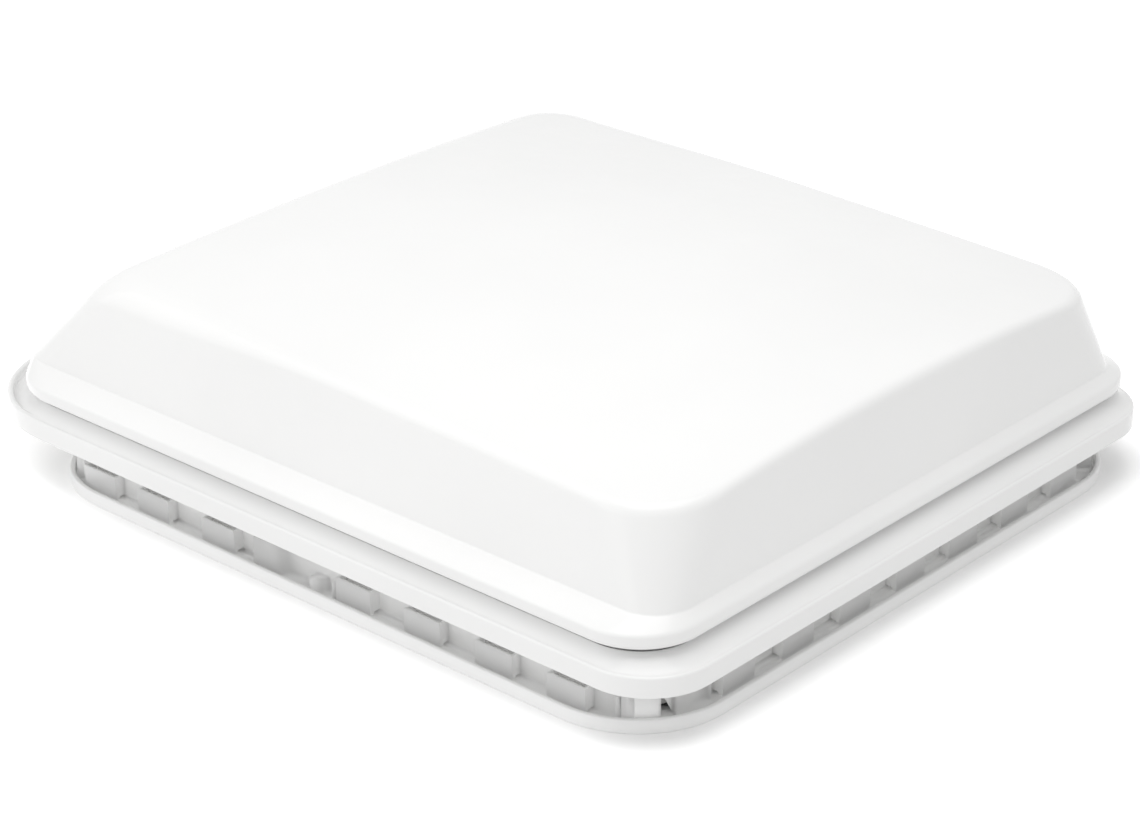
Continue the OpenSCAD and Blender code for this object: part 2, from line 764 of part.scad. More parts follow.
module dome_ring() {
    color(white)
        difference() {
            translate([0, 0, ring_z])
                linear_extrude(ring_t)
                    difference() {
                        rounded_span(ring_x0, ring_x1, -ring_y, ring_y, wall_r);
                        rounded_span(ring_x0 + 50, ring_x1 - 30, -ring_inner_y, ring_inner_y, 15);
                    }
            for (s = [-1, 1]) {
                for (x = rail_screw_x)
                    translate([x, s * rail_screw_y, ring_z - 1])
                        cylinder(h = ring_t + 2, r = 1.5 + fit);
                for (dy = [-5, 5])
                    translate([hinge_x + 12, s * hinge_y + dy, ring_z - 1])
                        cylinder(h = ring_t + 2, r = 1.5 + fit);
            }
        }
}

module hinge_leaves() {
    color(grey)
        for (s = [-1, 1])
            difference() {
                union() {
                    rod_y(hinge_x, hinge_z, s * hinge_y - leaf_w / 2, s * hinge_y + leaf_w / 2, knuckle_r);
                    block(hinge_x - 2, hinge_x + 5, s * hinge_y - leaf_w / 2, s * hinge_y + leaf_w / 2,
                        hinge_z, ring_z);
                    block(hinge_x, hinge_x + 18, s * hinge_y - leaf_w / 2, s * hinge_y + leaf_w / 2,
                        ring_z - 2.5, ring_z);
                }
                rod_y(hinge_x, hinge_z, s * hinge_y - leaf_w, s * hinge_y + leaf_w, hinge_pin_d / 2 + fit);
                for (dy = [-5, 5])
                    translate([hinge_x + 12, s * hinge_y + dy, ring_z - 5])
                        cylinder(h = 8, r = 1.7);
            }
}

module hinge_screws() {
    color(steel)
        for (s = [-1, 1], dy = [-5, 5])
            screw_up(hinge_x + 12, s * hinge_y + dy, ring_z - 2.5, 3, 2.5 + ring_t);
}

rail_screw_x = [for (k = [0 : 2]) rail_x0 + 14 + k * (rail_x1 - rail_x0 - 28) / 2];
rail_screw_y = web_y - web_t - rail_foot / 2;

// Channel rail, open to the side of the arm, with a foot for its screws and closed ends
module rail(s) {
    color(steel)
        mirror([0, s < 0 ? 1 : 0, 0])
            difference() {
                union() {
                    block(rail_x0, rail_x1, web_y - web_t, rail_y, rail_z0, rail_z1);
                    block(rail_x0, rail_x1, web_y - web_t - rail_foot, rail_y, rail_z1 - rail_t, rail_z1);
                }
                block(rail_x0 + 2, rail_x1 - 2, web_y, rail_y + 1, rail_z0 + rail_t, rail_z1 - rail_t);
                for (x = rail_screw_x)
                    translate([x, rail_screw_y, rail_z1 - 5])
                        cylinder(h = 8, r = 1.7);
            }
}

module rail_left() {
    rail(-1);
}

module rail_right() {
    rail(1);
}

module rail_screws() {
    color(steel)
        for (s = [-1, 1], x = rail_screw_x)
            screw_up(x, s * rail_screw_y, rail_z1 - rail_t, 3, rail_t + ring_t);
}

pin_d = 3;
pin_y = arm_y + arm_t - hub_l + 4.5;
wheel_pin_y = gear_y + 7;

// Cross holes that the drive pins pass through
module drive_holes() {
    for (y = [-pin_y, pin_y, wheel_pin_y])
        translate([pivot_x, y, pivot_z - 20])
            cylinder(h = 40, r = pin_d / 2 + fit / 2);
}

module cross_shaft() {
    color(steel)
        difference() {
            rod_y(pivot_x, pivot_z, -shaft_wall - 1, shaft_wall + 1, shaft_d / 2);
            drive_holes();
        }
}

// Flat arm with a rounded end at the roller, and a hub that the cross pin holds on the shaft
module lift_arm(s) {
    color(steel)
        mirror([0, s < 0 ? 1 : 0, 0]) {
            translate([pivot_x, arm_y + arm_t, pivot_z])
                rotate([90, 0, 0])
                    linear_extrude(arm_t)
                        difference() {
                            union() {
                                circle(hub_r);
                                rotate(arm_slope) {
                                    translate([0, -arm_h / 2 + 0.5])
                                        square([arm_l, arm_h - 1]);
                                    translate([arm_l, 0])
                                        circle(arm_h / 2);
                                }
                            }
                            circle(shaft_d / 2 + 0.4);
                            rotate(arm_slope)
                                translate([arm_l, 0])
                                    circle(roller_pin_d / 2 + fit / 2);
                        }
            difference() {
                rod_y(pivot_x, pivot_z, arm_y + arm_t - hub_l, arm_y, hub_r);
                rod_y(pivot_x, pivot_z, arm_y - 20, arm_y + 20, shaft_d / 2 + fit / 2);
                translate([pivot_x, pin_y, pivot_z - 20])
                    cylinder(h = 40, r = pin_d / 2 + fit / 2);
            }
        }
}

module lift_arm_left() {
    lift_arm(-1);
}

module lift_arm_right() {
    lift_arm(1);
}

module worm_wheel() {
    step = 360 / teeth;
    root = wheel_r - tooth_d - gear_gap / 2;
    tip = wheel_r + tooth_d - gear_gap / 2;
    root_a = asin(0.8 * gear_m / root);
    tip_a = asin(0.2 * gear_m / tip);
    function spot(r, a) = [r * cos(a), r * sin(a)];
    color(grey)
        difference() {
            union() {
                translate([pivot_x, gear_y + wheel_w / 2, pivot_z])
                    rotate([90, 0, 0])
                        linear_extrude(wheel_w)
                            polygon([for (k = [0 : teeth - 1]) each [
                                spot(root, k * step - root_a), spot(tip, k * step - tip_a),
                                spot(tip, k * step + tip_a), spot(root, k * step + root_a)]]);
                rod_y(pivot_x, pivot_z, gear_y, gear_y + 11, shaft_d / 2 + 3);
            }
            rod_y(pivot_x, pivot_z, gear_y - 20, gear_y + 20, shaft_d / 2 + fit / 2);
            drive_holes();
        }
}

module drive_pins() {
    color(steel) {
        for (y = [-pin_y, pin_y])
            translate([pivot_x, y, pivot_z - hub_r])
                cylinder(h = 2 * hub_r, r = pin_d / 2);
        translate([pivot_x, wheel_pin_y, pivot_z - shaft_d / 2 - 3])
            cylinder(h = shaft_d + 6, r = pin_d / 2);
    }
}

module roller_pins() {
    color(steel)
        for (s = [-1, 1])
            mirror([0, s < 0 ? 1 : 0, 0]) {
                rod_y(roller_x, hinge_z, roller_y, arm_y + arm_t, roller_pin_d / 2);
                rod_y(roller_x, hinge_z, roller_y + roller_w + 0.4, arm_y, roller_pin_d / 2 + 1);
            }
}

module roller(s) {
    color(dark)
        mirror([0, s < 0 ? 1 : 0, 0])
            difference() {
                rod_y(roller_x, hinge_z, roller_y, roller_y + roller_w, roller_d / 2);
                rod_y(roller_x, hinge_z, roller_y - 1, roller_y + roller_w + 1, roller_pin_d / 2 + fit);
            }
}

module roller_left() {
    roller(-1);
}

module roller_right() {
    roller(1);
}

// Spindle with a one-start worm: an off-centre circle wound upwards
module worm_spindle() {
    worm_z = pivot_z - worm_l / 2;
    color(steel) {
        translate([worm_x, gear_y, disc_z0 + 2.4])
            cylinder(h = worm_z - disc_z0 - 2.3, r = spindle_d / 2);
        translate([worm_x, gear_y, worm_z])
            rotate(-180 * worm_l / worm_pitch)
                linear_extrude(worm_l, twist = -360 * worm_l / worm_pitch, slices = 92, segments = 12)
                    translate([tooth_d, 0])
                        circle(worm_r - gear_gap / 2, $fn = 12);
        translate([worm_x, gear_y, worm_z + worm_l - 0.1])
            cylinder(h = box_top + cover_t - worm_z - worm_l, r = 3);
    }
}

module crank_disc() {
    color(white)
        difference() {
            translate([worm_x, gear_y, disc_z0])
                cylinder(h = disc_z1 - disc_z0, r = disc_d / 2);
            translate([worm_x, gear_y, disc_z0 + 2.2])
                cylinder(h = 20, r = spindle_d / 2 + fit / 2);
            block(worm_x - slot_x, worm_x + slot_x, lever_y - lever_w / 2 - pass,
                lever_y + lever_w / 2 + pass, disc_z0 - 1, disc_z0 + lever_t + 1.6);
            rod_y(lever_pin_x, lever_z, lever_y - lever_w / 2 - 2.5, lever_y + lever_w / 2 + 2.5,
                lever_pin_d / 2 + fit / 2);
        }
}

module lever_pin() {
    color(steel)
        rod_y(lever_pin_x, lever_z, lever_y - lever_w / 2 - 2.3, lever_y + lever_w / 2 + 2.3, lever_pin_d / 2);
}

module crank_lever() {
    far = worm_x + slot_x - 1.5;
    color(grey)
        difference() {
            union() {
                rod_y(lever_pin_x, lever_z, lever_y - lever_w / 2, lever_y + lever_w / 2, lever_t / 2);
                block(lever_pin_x, far, lever_y - lever_w / 2, lever_y + lever_w / 2,
                    lever_z - lever_t / 2, lever_z + lever_t / 2);
            }
            rod_y(lever_pin_x, lever_z, lever_y - 20, lever_y + 20, lever_pin_d / 2 + fit);
            // finger groove near the free end
            rod_y(far - 7, lever_z - lever_t / 2 - 3.4, lever_y - 20, lever_y + 20, 5);
        }
}

module flyscreen_frame() {
    color(white)
        difference() {
            translate([0, 0, screen_z0])
                linear_extrude(screen_t)
                    difference() {
                        rounded_span(-bar_x, bar_x, bar_y0, bar_y1, 1.5);
                        rounded_span(-bar_x + screen_bar, bar_x - screen_bar,
                            bar_y0 + screen_bar, bar_y1 - screen_bar, 4);
                    }
            for (s = [-1, 1]) {
                translate([s * catch_x, 0, 0]) {
                    block(-catch_w / 2 - 0.4, catch_w / 2 + 0.4, bar_y0 - 1, bar_y0 + screen_bar + 1,
                        catch_z - 0.4, catch_z + catch_t + 0.4);
                    block(-4.4, 4.4, bar_y0 + 0.9, bar_y0 + 5.3 + catch_travel, screen_z0 - 1, catch_z + 0.5);
                }
                translate([s * (bar_x - 9), screen_pin_y, screen_pin_z])
                    rotate([0, s * 90, 0])
                        cylinder(h = 20, r = screen_pin_d / 2 + fit / 2);
            }
        }
}

module flyscreen_mesh() {
    color(grey)
        translate([0, 0, screen_z0 + 3])
            linear_extrude(0.6)
                rounded_span(-bar_x + screen_bar, bar_x - screen_bar,
                    bar_y0 + screen_bar, bar_y1 - screen_bar, 4.2);
}

module flyscreen_pins() {
    color(steel)
        for (s = [-1, 1])
            translate([s * (bar_x - 8.9), screen_pin_y, screen_pin_z])
                rotate([0, s * 90, 0])
                    cylinder(h = 8.9 + screen_gap + 2.2, r = screen_pin_d / 2);
}

module screen_catch(s) {
    start = bar_y0 + 1;
    color(white)
        translate([s * catch_x, 0, 0]) {
            block(-catch_w / 2, catch_w / 2, start, start + 12, catch_z, catch_z + catch_t);
            block(-4, 4, start + 0.3 + catch_travel, start + 4 + catch_travel, screen_z0 + 0.1, catch_z + 0.1);
        }
}

module catch_left() {
    screen_catch(-1);
}

module catch_right() {
    screen_catch(1);
}

outer_frame();
roof_gasket();
dome_seal();
hinge_pins();
shaft_bushes();
gearbox_housing();
gearbox_cover();
gearbox_screws();
inner_frame();
clamp_screws();
dome_shell();
dome_ring();
hinge_leaves();
hinge_screws();
rail_left();
rail_right();
rail_screws();
cross_shaft();
lift_arm_left();
lift_arm_right();
worm_wheel();
drive_pins();
roller_pins();
roller_left();
roller_right();
worm_spindle();
crank_disc();
lever_pin();
crank_lever();
flyscreen_frame();
flyscreen_mesh();
flyscreen_pins();
catch_left();
catch_right();
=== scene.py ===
"""Looks of a caravan roof vent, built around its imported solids."""

import json
import math

import bmesh
import bpy
from bpy.props import FloatProperty, FloatVectorProperty, IntProperty, PointerProperty
from mathutils import Matrix, Vector

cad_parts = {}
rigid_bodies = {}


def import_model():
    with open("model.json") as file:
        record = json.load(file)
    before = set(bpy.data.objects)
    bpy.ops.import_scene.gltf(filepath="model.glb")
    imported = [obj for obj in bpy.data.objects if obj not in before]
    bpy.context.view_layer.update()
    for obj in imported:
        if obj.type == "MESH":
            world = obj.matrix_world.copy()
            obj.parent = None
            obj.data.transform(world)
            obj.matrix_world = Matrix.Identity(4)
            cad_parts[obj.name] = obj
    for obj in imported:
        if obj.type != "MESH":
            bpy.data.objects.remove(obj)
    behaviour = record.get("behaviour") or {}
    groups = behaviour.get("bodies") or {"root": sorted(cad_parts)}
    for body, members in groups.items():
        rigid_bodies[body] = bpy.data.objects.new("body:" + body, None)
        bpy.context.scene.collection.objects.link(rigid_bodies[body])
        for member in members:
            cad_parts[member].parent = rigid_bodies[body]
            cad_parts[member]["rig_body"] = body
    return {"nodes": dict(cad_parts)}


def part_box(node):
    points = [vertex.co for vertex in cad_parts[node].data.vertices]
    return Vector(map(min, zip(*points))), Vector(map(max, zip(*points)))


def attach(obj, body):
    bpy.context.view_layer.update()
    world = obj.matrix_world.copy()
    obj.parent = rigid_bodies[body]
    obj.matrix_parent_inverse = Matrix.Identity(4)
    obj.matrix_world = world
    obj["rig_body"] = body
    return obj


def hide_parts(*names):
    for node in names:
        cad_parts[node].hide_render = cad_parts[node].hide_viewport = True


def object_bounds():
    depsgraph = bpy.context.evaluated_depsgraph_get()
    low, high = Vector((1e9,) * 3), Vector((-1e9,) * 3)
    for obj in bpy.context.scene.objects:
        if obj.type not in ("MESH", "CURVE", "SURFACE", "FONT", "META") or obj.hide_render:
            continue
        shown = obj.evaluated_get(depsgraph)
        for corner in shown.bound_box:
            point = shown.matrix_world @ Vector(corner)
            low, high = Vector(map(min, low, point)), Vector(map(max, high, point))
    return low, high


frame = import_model()
CAD_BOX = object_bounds()

bl_info = {
    "name": "Caravan Roof Vent",
    "version": (1, 0, 0),
    "blender": (4, 5, 0),
    "location": "View3D > Sidebar > Roof Vent",
    "description": "Builds the dome, frames, lift, crank, screen and studio of a caravan roof vent",
    "category": "Object",
}

DOME_LOW, DOME_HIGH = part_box("dome_shell")

# Copies of solids: corners within this distance are joined, and edges past this angle stay hard
MERGE_DISTANCE = 2e-6
HARD_ANGLE = math.radians(40.0)

# Rows of faces on the dome's skins, from the foot to the crown
FOOT_SHARES = (0.3, 0.7)
RIM_SHARES = (0.35, 0.6)
EDGE_STEPS = 8
FLARE_SHARES = (0.25, 0.5, 0.75)
CREASE_STEPS = 6
WALL_STEPS = 10
SHOULDER_STEPS = 14
CROWN_STEPS = 24
CROWN_SPACING = 1.3

# The crown's rows run to a pole at this distance from the dome's middle, towards the free end
CROWN_POLE = 0.014

# The inner skin's rim lies lower by this share of the skin, and the edge's curve has this share on the rim
INNER_RIM_FALL = 0.4
RIM_EDGE_SHARE = 0.6

# Heights at which the wall is set out to find where it meets the top, the first guess and the rounds
LEVEL_STEP = 0.001
LEVELS = [LEVEL_STEP * k for k in range(60, 101)]
MEETING_GUESS = 0.080
MEETING_ROUNDS = 8

# Rows of the flange's band lie closer together at the lip
BAND_SPACING = 1.6

# Sides of the round forms in the node trees, a slot's width as a share of its length, and bevel steps
HEAD_SIDES = 32
SHANK_SIDES = 24
THREAD_SIDES = 3
SLOT_SHARE = 0.24
BEVEL_SEGMENTS = 2

# Most of a noise's values lie in this range
NOISE_LOW, NOISE_HIGH = 0.3, 0.7
PLASTIC_IOR = 1.4

# Studio floor, the openness at which its painted contact shadow is darkest, and what counts as white
FLOOR_HALF = 12.0
FLOOR_GAP = 0.00002
DARKEST_OPENNESS = 0.5
WHITE = (1, 1, 1, 1)
WHITE_STRENGTH = 1.0

# Camera sensor in millimetres and the range that the camera sees
SENSOR_WIDTH = 36.0
CLIP_NEAR, CLIP_FAR = 0.05, 60.0


def length(name, description, default, low=0.0, high=1.0):
    """Length property in metres."""
    return FloatProperty(name=name, description=description, default=default, min=low, max=high,
                         unit="LENGTH", subtype="DISTANCE", precision=4)


def factor(name, description, default, low=0.0, high=1.0):
    """Plain number property."""
    return FloatProperty(name=name, description=description, default=default, min=low, max=high, precision=3)


def number(name, description, default, low, high):
    """Whole number property."""
    return IntProperty(name=name, description=description, default=default, min=low, max=high)


def power(name, description, default):
    """Power property in watts."""
    return FloatProperty(name=name, description=description, default=default, min=0.0, unit="POWER")


def spot(name, description, default):
    """Property for a place in metres."""
    return FloatVectorProperty(name=name, description=description, default=default, size=3, unit="LENGTH",
                               subtype="TRANSLATION")


def colour(name, description, default):
    """Colour property."""
    return FloatVectorProperty(name=name, description=description, default=default, size=3, min=0.0, max=1.0,
                               subtype="COLOR")


class RoofVentDome(bpy.types.PropertyGroup):
    """Sizes of the domed lid."""

    rim_height: length("Rim Height", "Height of the upright rim at the foot", 0.0068)
    rim_fall: length("Rim Fall", "Fall of the rim's upper edge towards the hinge end", 0.0025)
    fall_start: length("Fall Start", "Distance from the dome's middle at which the rim begins to fall", 0.172)
    fall_run: length("Fall Run", "Length over which the rim falls", 0.04)
    foot_edge: length("Foot Edge", "Height of the rim's rounded lower edge", 0.0008)
    edge: length("Edge", "Length of the curve between rim and flare", 0.0022)
    flare_height: length("Flare Height", "Rise of the flare between rim and wall", 0.0054)
    flare_side: length("Side Flare", "Inset of the side walls from the foot", 0.0142)
    flare_free: length("Free End Flare", "Inset of the free end's wall from the foot", 0.0057)
    flare_hinge: length("Hinge End Flare", "Inset of the hinge end's wall from the foot", 0.0038)
    crease: length("Crease", "Length of the curve between flare and wall", 0.0007)
    skin: length("Skin", "Thickness of the dome's skin", 0.003)
    slope_side: factor("Side Slope", "Inset of the side walls per height", 0.20)
    slope_free: factor("Free End Slope", "Inset of the free end's wall per height", 0.10)
    slope_hinge: factor("Hinge End Slope", "Inset of the hinge end's wall per height", 0.91)
    shoulder: length("Shoulder", "Length of the shoulder's curve at the free end", 0.0056)
    shoulder_hinge: length("Hinge Shoulder", "Length of the shoulder's curve at the hinge end", 0.022)
    shoulder_run: length("Shoulder Run", "Distance up to X 0 over which the shoulder tightens", 0.19)
    foot_radius: length("Foot Corner", "Corner radius of the foot at the free end", 0.0335)
    foot_hinge_radius: length("Foot Hinge Corner", "Corner radius of the foot at the hinge end", 0.042)
    wall_radius: length("Wall Corner", "Corner radius where flare and wall meet", 0.0213)
    top_radius: length("Top Corner", "Corner radius at the corner rise, at the free end", 0.043)
    hinge_radius: length("Hinge Top Corner", "Corner radius at the corner rise, at the hinge end", 0.024)
    corner_rise: length("Corner Rise", "Height over which the wall's corners change", 0.045)
    corner_limit: factor("Corner Limit", "Share of the rise at which the free end's corners stop changing",
                         1.3, high=2.0)
    crown_height: length("Crown Height", "Height of the crown above the roof", 0.0956)
    crown_tilt: factor("Crown Tilt", "Fall of the crown per length towards the free end", 0.0227)
    crown_along: length("Crown Along", "Radius of the crown's curve along the vent", 3.404, high=20.0)
    crown_across: length("Crown Across", "Radius of the crown's curve across the vent", 1.1155, high=20.0)
    corner_lift: length("Corner Lift", "Lift of the crown's corners above its two curves", 0.004)
    corner_x: length("Corner X", "Distance along the vent at which the corners have that lift", 0.2)
    corner_y: length("Corner Y", "Distance across the vent at which the corners have that lift", 0.17)
    arc_steps: number("Corner Steps", "Steps round each corner", 18, 4, 48)
    side_steps: number("Side Steps", "Steps along each side", 28, 4, 80)


class RoofVentFlange(bpy.types.PropertyGroup):
    """Sizes of the roof flange's band between its lip and the dome's edge."""

    radius: length("Corner", "Corner radius of the flange at the free end", 0.035)
    hinge_radius: length("Hinge Corner", "Corner radius of the flange at the hinge end", 0.066)
    lip: length("Lip", "Inset of the band's outer edge from the flange's edge", 0.0014)
    lip_height: length("Lip Height", "Height of the lip above the roof", 0.01042)
    tuck: length("Tuck", "Reach of the band under the dome's edge", 0.0044)
    top: length("Top", "Height of the band's inner edge above the roof", 0.01732)
    hinge_top: length("Hinge Top", "Height of the band's inner edge at the hinge end", 0.0136)
    bend: factor("Bend", "Power of the band's rise: above 1 it starts flat", 1.4, low=1.0, high=3.0)
    turn_start: length("Turn Start", "Place on X where the band begins to turn into a tray", -0.195, low=-1.0)
    turn_end: length("Turn End", "Place on X from which the band is a tray", -0.235, low=-1.0)
    tray: length("Tray", "Depth of the tray behind the lip at the hinge end", 0.0048)
    tray_start: length("Tray Start", "Distance of the tray's wall from the band's outer edge", 0.0009)
    tray_wall: length("Tray Wall", "Width of the tray's sloping wall", 0.0022)
    under: length("Under", "Height of the band's hidden underside", 0.0045)
    crest: length("Crest", "Height of the solid upstand that the band covers", 0.0165)
    crest_ends: length("Crest Ends", "Distance of the upstand's corners from X 0", 0.175)
    steps: number("Steps", "Rows of faces across the band", 24, 4, 60)


class RoofVentScrews(bpy.types.PropertyGroup):
    """Proportions of the cross-head screws, as shares of the head's radius."""

    shank: factor("Shank", "Radius of the shank", 0.5)
    head: factor("Head", "Height of the head", 0.5)
    pan: factor("Pan Face", "Radius of a pan head's face", 0.84)
    recess: factor("Recess", "Width of the cross recess", 1.15, high=2.0)
    recess_depth: factor("Recess Depth", "Depth of the cross recess", 0.28)
    edge: length("Edge", "Width of the broken edges", 0.0002)


class RoofVentScreen(bpy.types.PropertyGroup):
    """Sizes of the woven insect screen."""

    pitch: length("Pitch", "Distance between neighbouring threads", 0.0024, low=0.001)
    thread: length("Thread", "Thickness of a thread", 0.00028)


class RoofVentColours(bpy.types.PropertyGroup):
    """Colours of the finishes."""

    gloss: colour("Gloss White", "Dome and roof flange", (0.90, 0.90, 0.895))
    satin: colour("Satin White", "Lower frame, dome ring, crank disc and screen frame", (0.94, 0.94, 0.936))
    rubber: colour("Rubber", "Dome's seal", (0.022, 0.022, 0.024))
    foam: colour("Foam", "Roof gasket", (0.72, 0.72, 0.71))
    grey: colour("Grey Plastic", "Gearbox, bushes, hinge leaves and lever", (0.29, 0.305, 0.32))
    black: colour("Black Plastic", "Rollers", (0.03, 0.03, 0.033))
    steel: colour("Steel", "Pins, shaft, worm and screws", (0.56, 0.57, 0.58))
    zinc: colour("Zinc", "Rails and arms", (0.50, 0.52, 0.55))
    thread: colour("Screen Thread", "Woven insect screen", (0.10, 0.105, 0.11))


class RoofVentStage(bpy.types.PropertyGroup):
    """Camera and light of the studio."""

    azimuth: factor("Azimuth", "Turn of the camera round the vent, in degrees", 41.5595, high=360.0)
    elevation: factor("Elevation", "Height of the camera above the horizon, in degrees", 25.499, high=90.0)
    distance: length("Distance", "Camera to its target", 1.656, high=10.0)
    target: length("Target", "Place on the X axis that the camera turns round", -0.0127, low=-1.0)
    lens: factor("Lens", "Focal length in millimetres", 100.89, low=1.0, high=500.0)
    shift_x: factor("Shift X", "Sideways shift of the frame, as a share of its width", 0.00167, low=-1.0)
    shift_y: factor("Shift Y", "Upright shift of the frame, as a share of its width", -0.00515, low=-1.0)
    world_light: factor("World Light", "Strength of the surrounding light", 0.67, high=3.0)
    over_place: spot("Over Place", "Place of the soft box above the near corner", (0.2, -0.2, 0.9))
    over_size: length("Over Size", "Width of the soft box above the near corner", 0.7, high=5.0)
    over_power: power("Over Power", "Power of the soft box above the near corner", 3.0)
    side_place: spot("Side Place", "Place of the soft box on the left", (-1.22, -1.08, 1.15))
    side_size: length("Side Size", "Width of the soft box on the left", 1.6, high=5.0)
    side_power: power("Side Power", "Power of the soft box on the left", 4.6)
    low_place: spot("Low Place", "Place of the low soft box in front", (-0.3, -2.2, 0.5))
    low_size: length("Low Size", "Width of the low soft box in front", 1.2, high=5.0)
    low_power: power("Low Power", "Power of the low soft box in front", 3.3)
    bounces: number("Bounces", "Times that light is passed on between the pale surfaces", 16, 1, 64)
    floor: colour("Floor", "Colour of the studio floor", (0.93, 0.93, 0.93))
    floor_seen: factor("Seen Floor", "Brightness of the seen floor; its open part is white", 1.4, high=2.0)
    # Painted light: the seen floor is made paler towards the hinge end, lightening the real shadow under the
    # flange's corner
    painted_light_start: length("Pale Start", "Place on X from which the seen floor grows paler", -0.12, low=-1.0)
    painted_light_end: length("Pale End", "Place on X where the seen floor is palest", -0.25, low=-1.0)
    painted_light_share: factor("Pale Share", "Brightness of the palest part over the rest", 1.32, low=1.0, high=2.0)
    # Painted shadow: within this reach the seen floor is darkened by its openness, on top of the real shadow
    contact: length("Contact Shadow", "Reach of the darker shadow next to the vent", 0.035)
    painted_shadow_share: factor("Contact Share", "Part of the floor's brightness left at the contact", 0.735)


def paint(mesh, material):
    """Gives all faces of a mesh one material."""
    mesh.materials.clear()
    mesh.materials.append(material)


def mesh_object(name, mesh, material):
    """New object at the origin with one material."""
    obj = bpy.data.objects.new(name, mesh)
    bpy.context.scene.collection.objects.link(obj)
    paint(mesh, material)
    return obj


def object_from_bmesh(name, bm, material):
    """Writes a bmesh into a new smooth object."""
    mesh = bpy.data.meshes.new(name)
    bm.to_mesh(mesh)
    bm.free()
    mesh.shade_smooth()
    return mesh_object(name, mesh, material)


def apply_modifiers(obj, material):
    """Turns the evaluated object into its plain mesh with one material."""
    view = bpy.context.evaluated_depsgraph_get()
    made = bpy.data.meshes.new_from_object(obj.evaluated_get(view))
    obj.modifiers.clear()
    old = obj.data
    obj.data = made
    paint(made, material)
    if old.users == 0:
        bpy.data.meshes.remove(old)


def merged_copy(node):
    """Copy of a CAD node's mesh with its loose triangles joined."""
    bm = bmesh.new()
    bm.from_mesh(frame["nodes"][node].data)
    bmesh.ops.remove_doubles(bm, verts=bm.verts, dist=MERGE_DISTANCE)
    return bm


def smoothed(node, name, material, shape=None):
    """Copy of a CAD node, reshaped where asked, with its round faces shaded smooth."""
    bm = merged_copy(node)
    if shape:
        shape(bm)
    obj = object_from_bmesh(name, bm, material)
    obj.data.set_sharp_from_angle(angle=HARD_ANGLE)
    stand_in(obj, node)


def islands(node):
    """Boxes of the loose solids of a CAD node, in the order of their first corners."""
    bm = merged_copy(node)
    left = set(bm.verts)
    boxes = []
    for start in bm.verts:
        if start not in left:
            continue
        found = []
        front = {start}
        while front:
            found += front
            left -= front
            front = {e.other_vert(v) for v in front for e in v.link_edges} & left
        boxes.append([Vector(pick(v.co[k] for v in found) for k in range(3)) for pick in (min, max)])
    bm.free()
    return boxes


def stand_in(obj, *nodes):
    """The object takes the place of CAD nodes and rides on their body."""
    body = frame["nodes"][nodes[0]]["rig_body"]
    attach(obj, body)
    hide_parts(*nodes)


def dress(material, *nodes):
    """Gives CAD nodes a material."""
    for node in nodes:
        paint(frame["nodes"][node].data, material)


def add(tree, kind, links=None, **settings):
    """New node; links give its inputs as sockets or plain values."""
    node = tree.nodes.new(kind)
    for key, value in settings.items():
        setattr(node, key, value)
    for key, value in (links or {}).items():
        socket = node.inputs[key]
        if isinstance(value, bpy.types.NodeSocket):
            tree.links.new(value, socket)
        else:
            socket.default_value = value
    return node


def reckon(tree, operation, a, b):
    """Result of a sum on two sockets or values."""
    return add(tree, "ShaderNodeMath", {0: a, 1: b}, operation=operation).outputs[0]


def vector(tree, x=0.0, y=0.0, z=0.0):
    """Vector from sockets or values."""
    return add(tree, "ShaderNodeCombineXYZ", {"X": x, "Y": y, "Z": z}).outputs[0]


def new_material(name):
    """Node material with its tree, its Principled shader and its object coordinates."""
    material = bpy.data.materials.new(name)
    material.use_nodes = True
    tree = material.node_tree
    place = tree.nodes.new("ShaderNodeTexCoord").outputs["Object"]
    return material, tree, tree.nodes["Principled BSDF"], place


def noise(tree, place, scale, detail=2.0, stretch=None):
    """Noise on object coordinates, stretched along an axis where asked."""
    if stretch:
        place = add(tree, "ShaderNodeMapping", {"Vector": place, "Scale": stretch}).outputs["Vector"]
    return add(tree, "ShaderNodeTexNoise", {"Vector": place, "Scale": scale, "Detail": detail}).outputs["Fac"]


def spread(tree, value, low, high):
    """Maps a noise onto a range."""
    node = add(tree, "ShaderNodeMapRange", {
        "Value": value, "From Min": NOISE_LOW, "From Max": NOISE_HIGH, "To Min": low, "To Max": high})
    return node.outputs["Result"]


def tint(tree, value, base, change):
    """Colour that varies a little round a base colour."""
    ramp = add(tree, "ShaderNodeValToRGB", {"Fac": value})
    dark, light = ramp.color_ramp.elements
    dark.position = NOISE_LOW
    dark.color = (*[c * (1 - change) for c in base], 1)
    light.position = NOISE_HIGH
    light.color = (*[min(1.0, c * (1 + change)) for c in base], 1)
    return ramp.outputs["Color"]


def bump(tree, shader, value, strength, distance):
    """Fine relief on the shader's normal."""
    node = add(tree, "ShaderNodeBump", {"Height": value, "Strength": strength, "Distance": distance})
    tree.links.new(node.outputs["Normal"], shader.inputs["Normal"])


def seen_rays(tree):
    """1 for rays that show the background: seen directly, mirrored or through glass."""
    path = tree.nodes.new("ShaderNodeLightPath")
    value = path.outputs["Is Camera Ray"]
    for kind in ("Is Glossy Ray", "Is Transmission Ray"):
        value = reckon(tree, "MAXIMUM", value, path.outputs[kind])
    return value


def end_seen(tree, lighting, seen, output):
    """Ends a tree with one shader for the light that it gives and another for how it is seen."""
    shaders = {"Fac": seen_rays(tree), 1: lighting.outputs[0], 2: seen.outputs[0]}
    mix = add(tree, "ShaderNodeMixShader", shaders)
    tree.links.new(mix.outputs[0], output.inputs["Surface"])


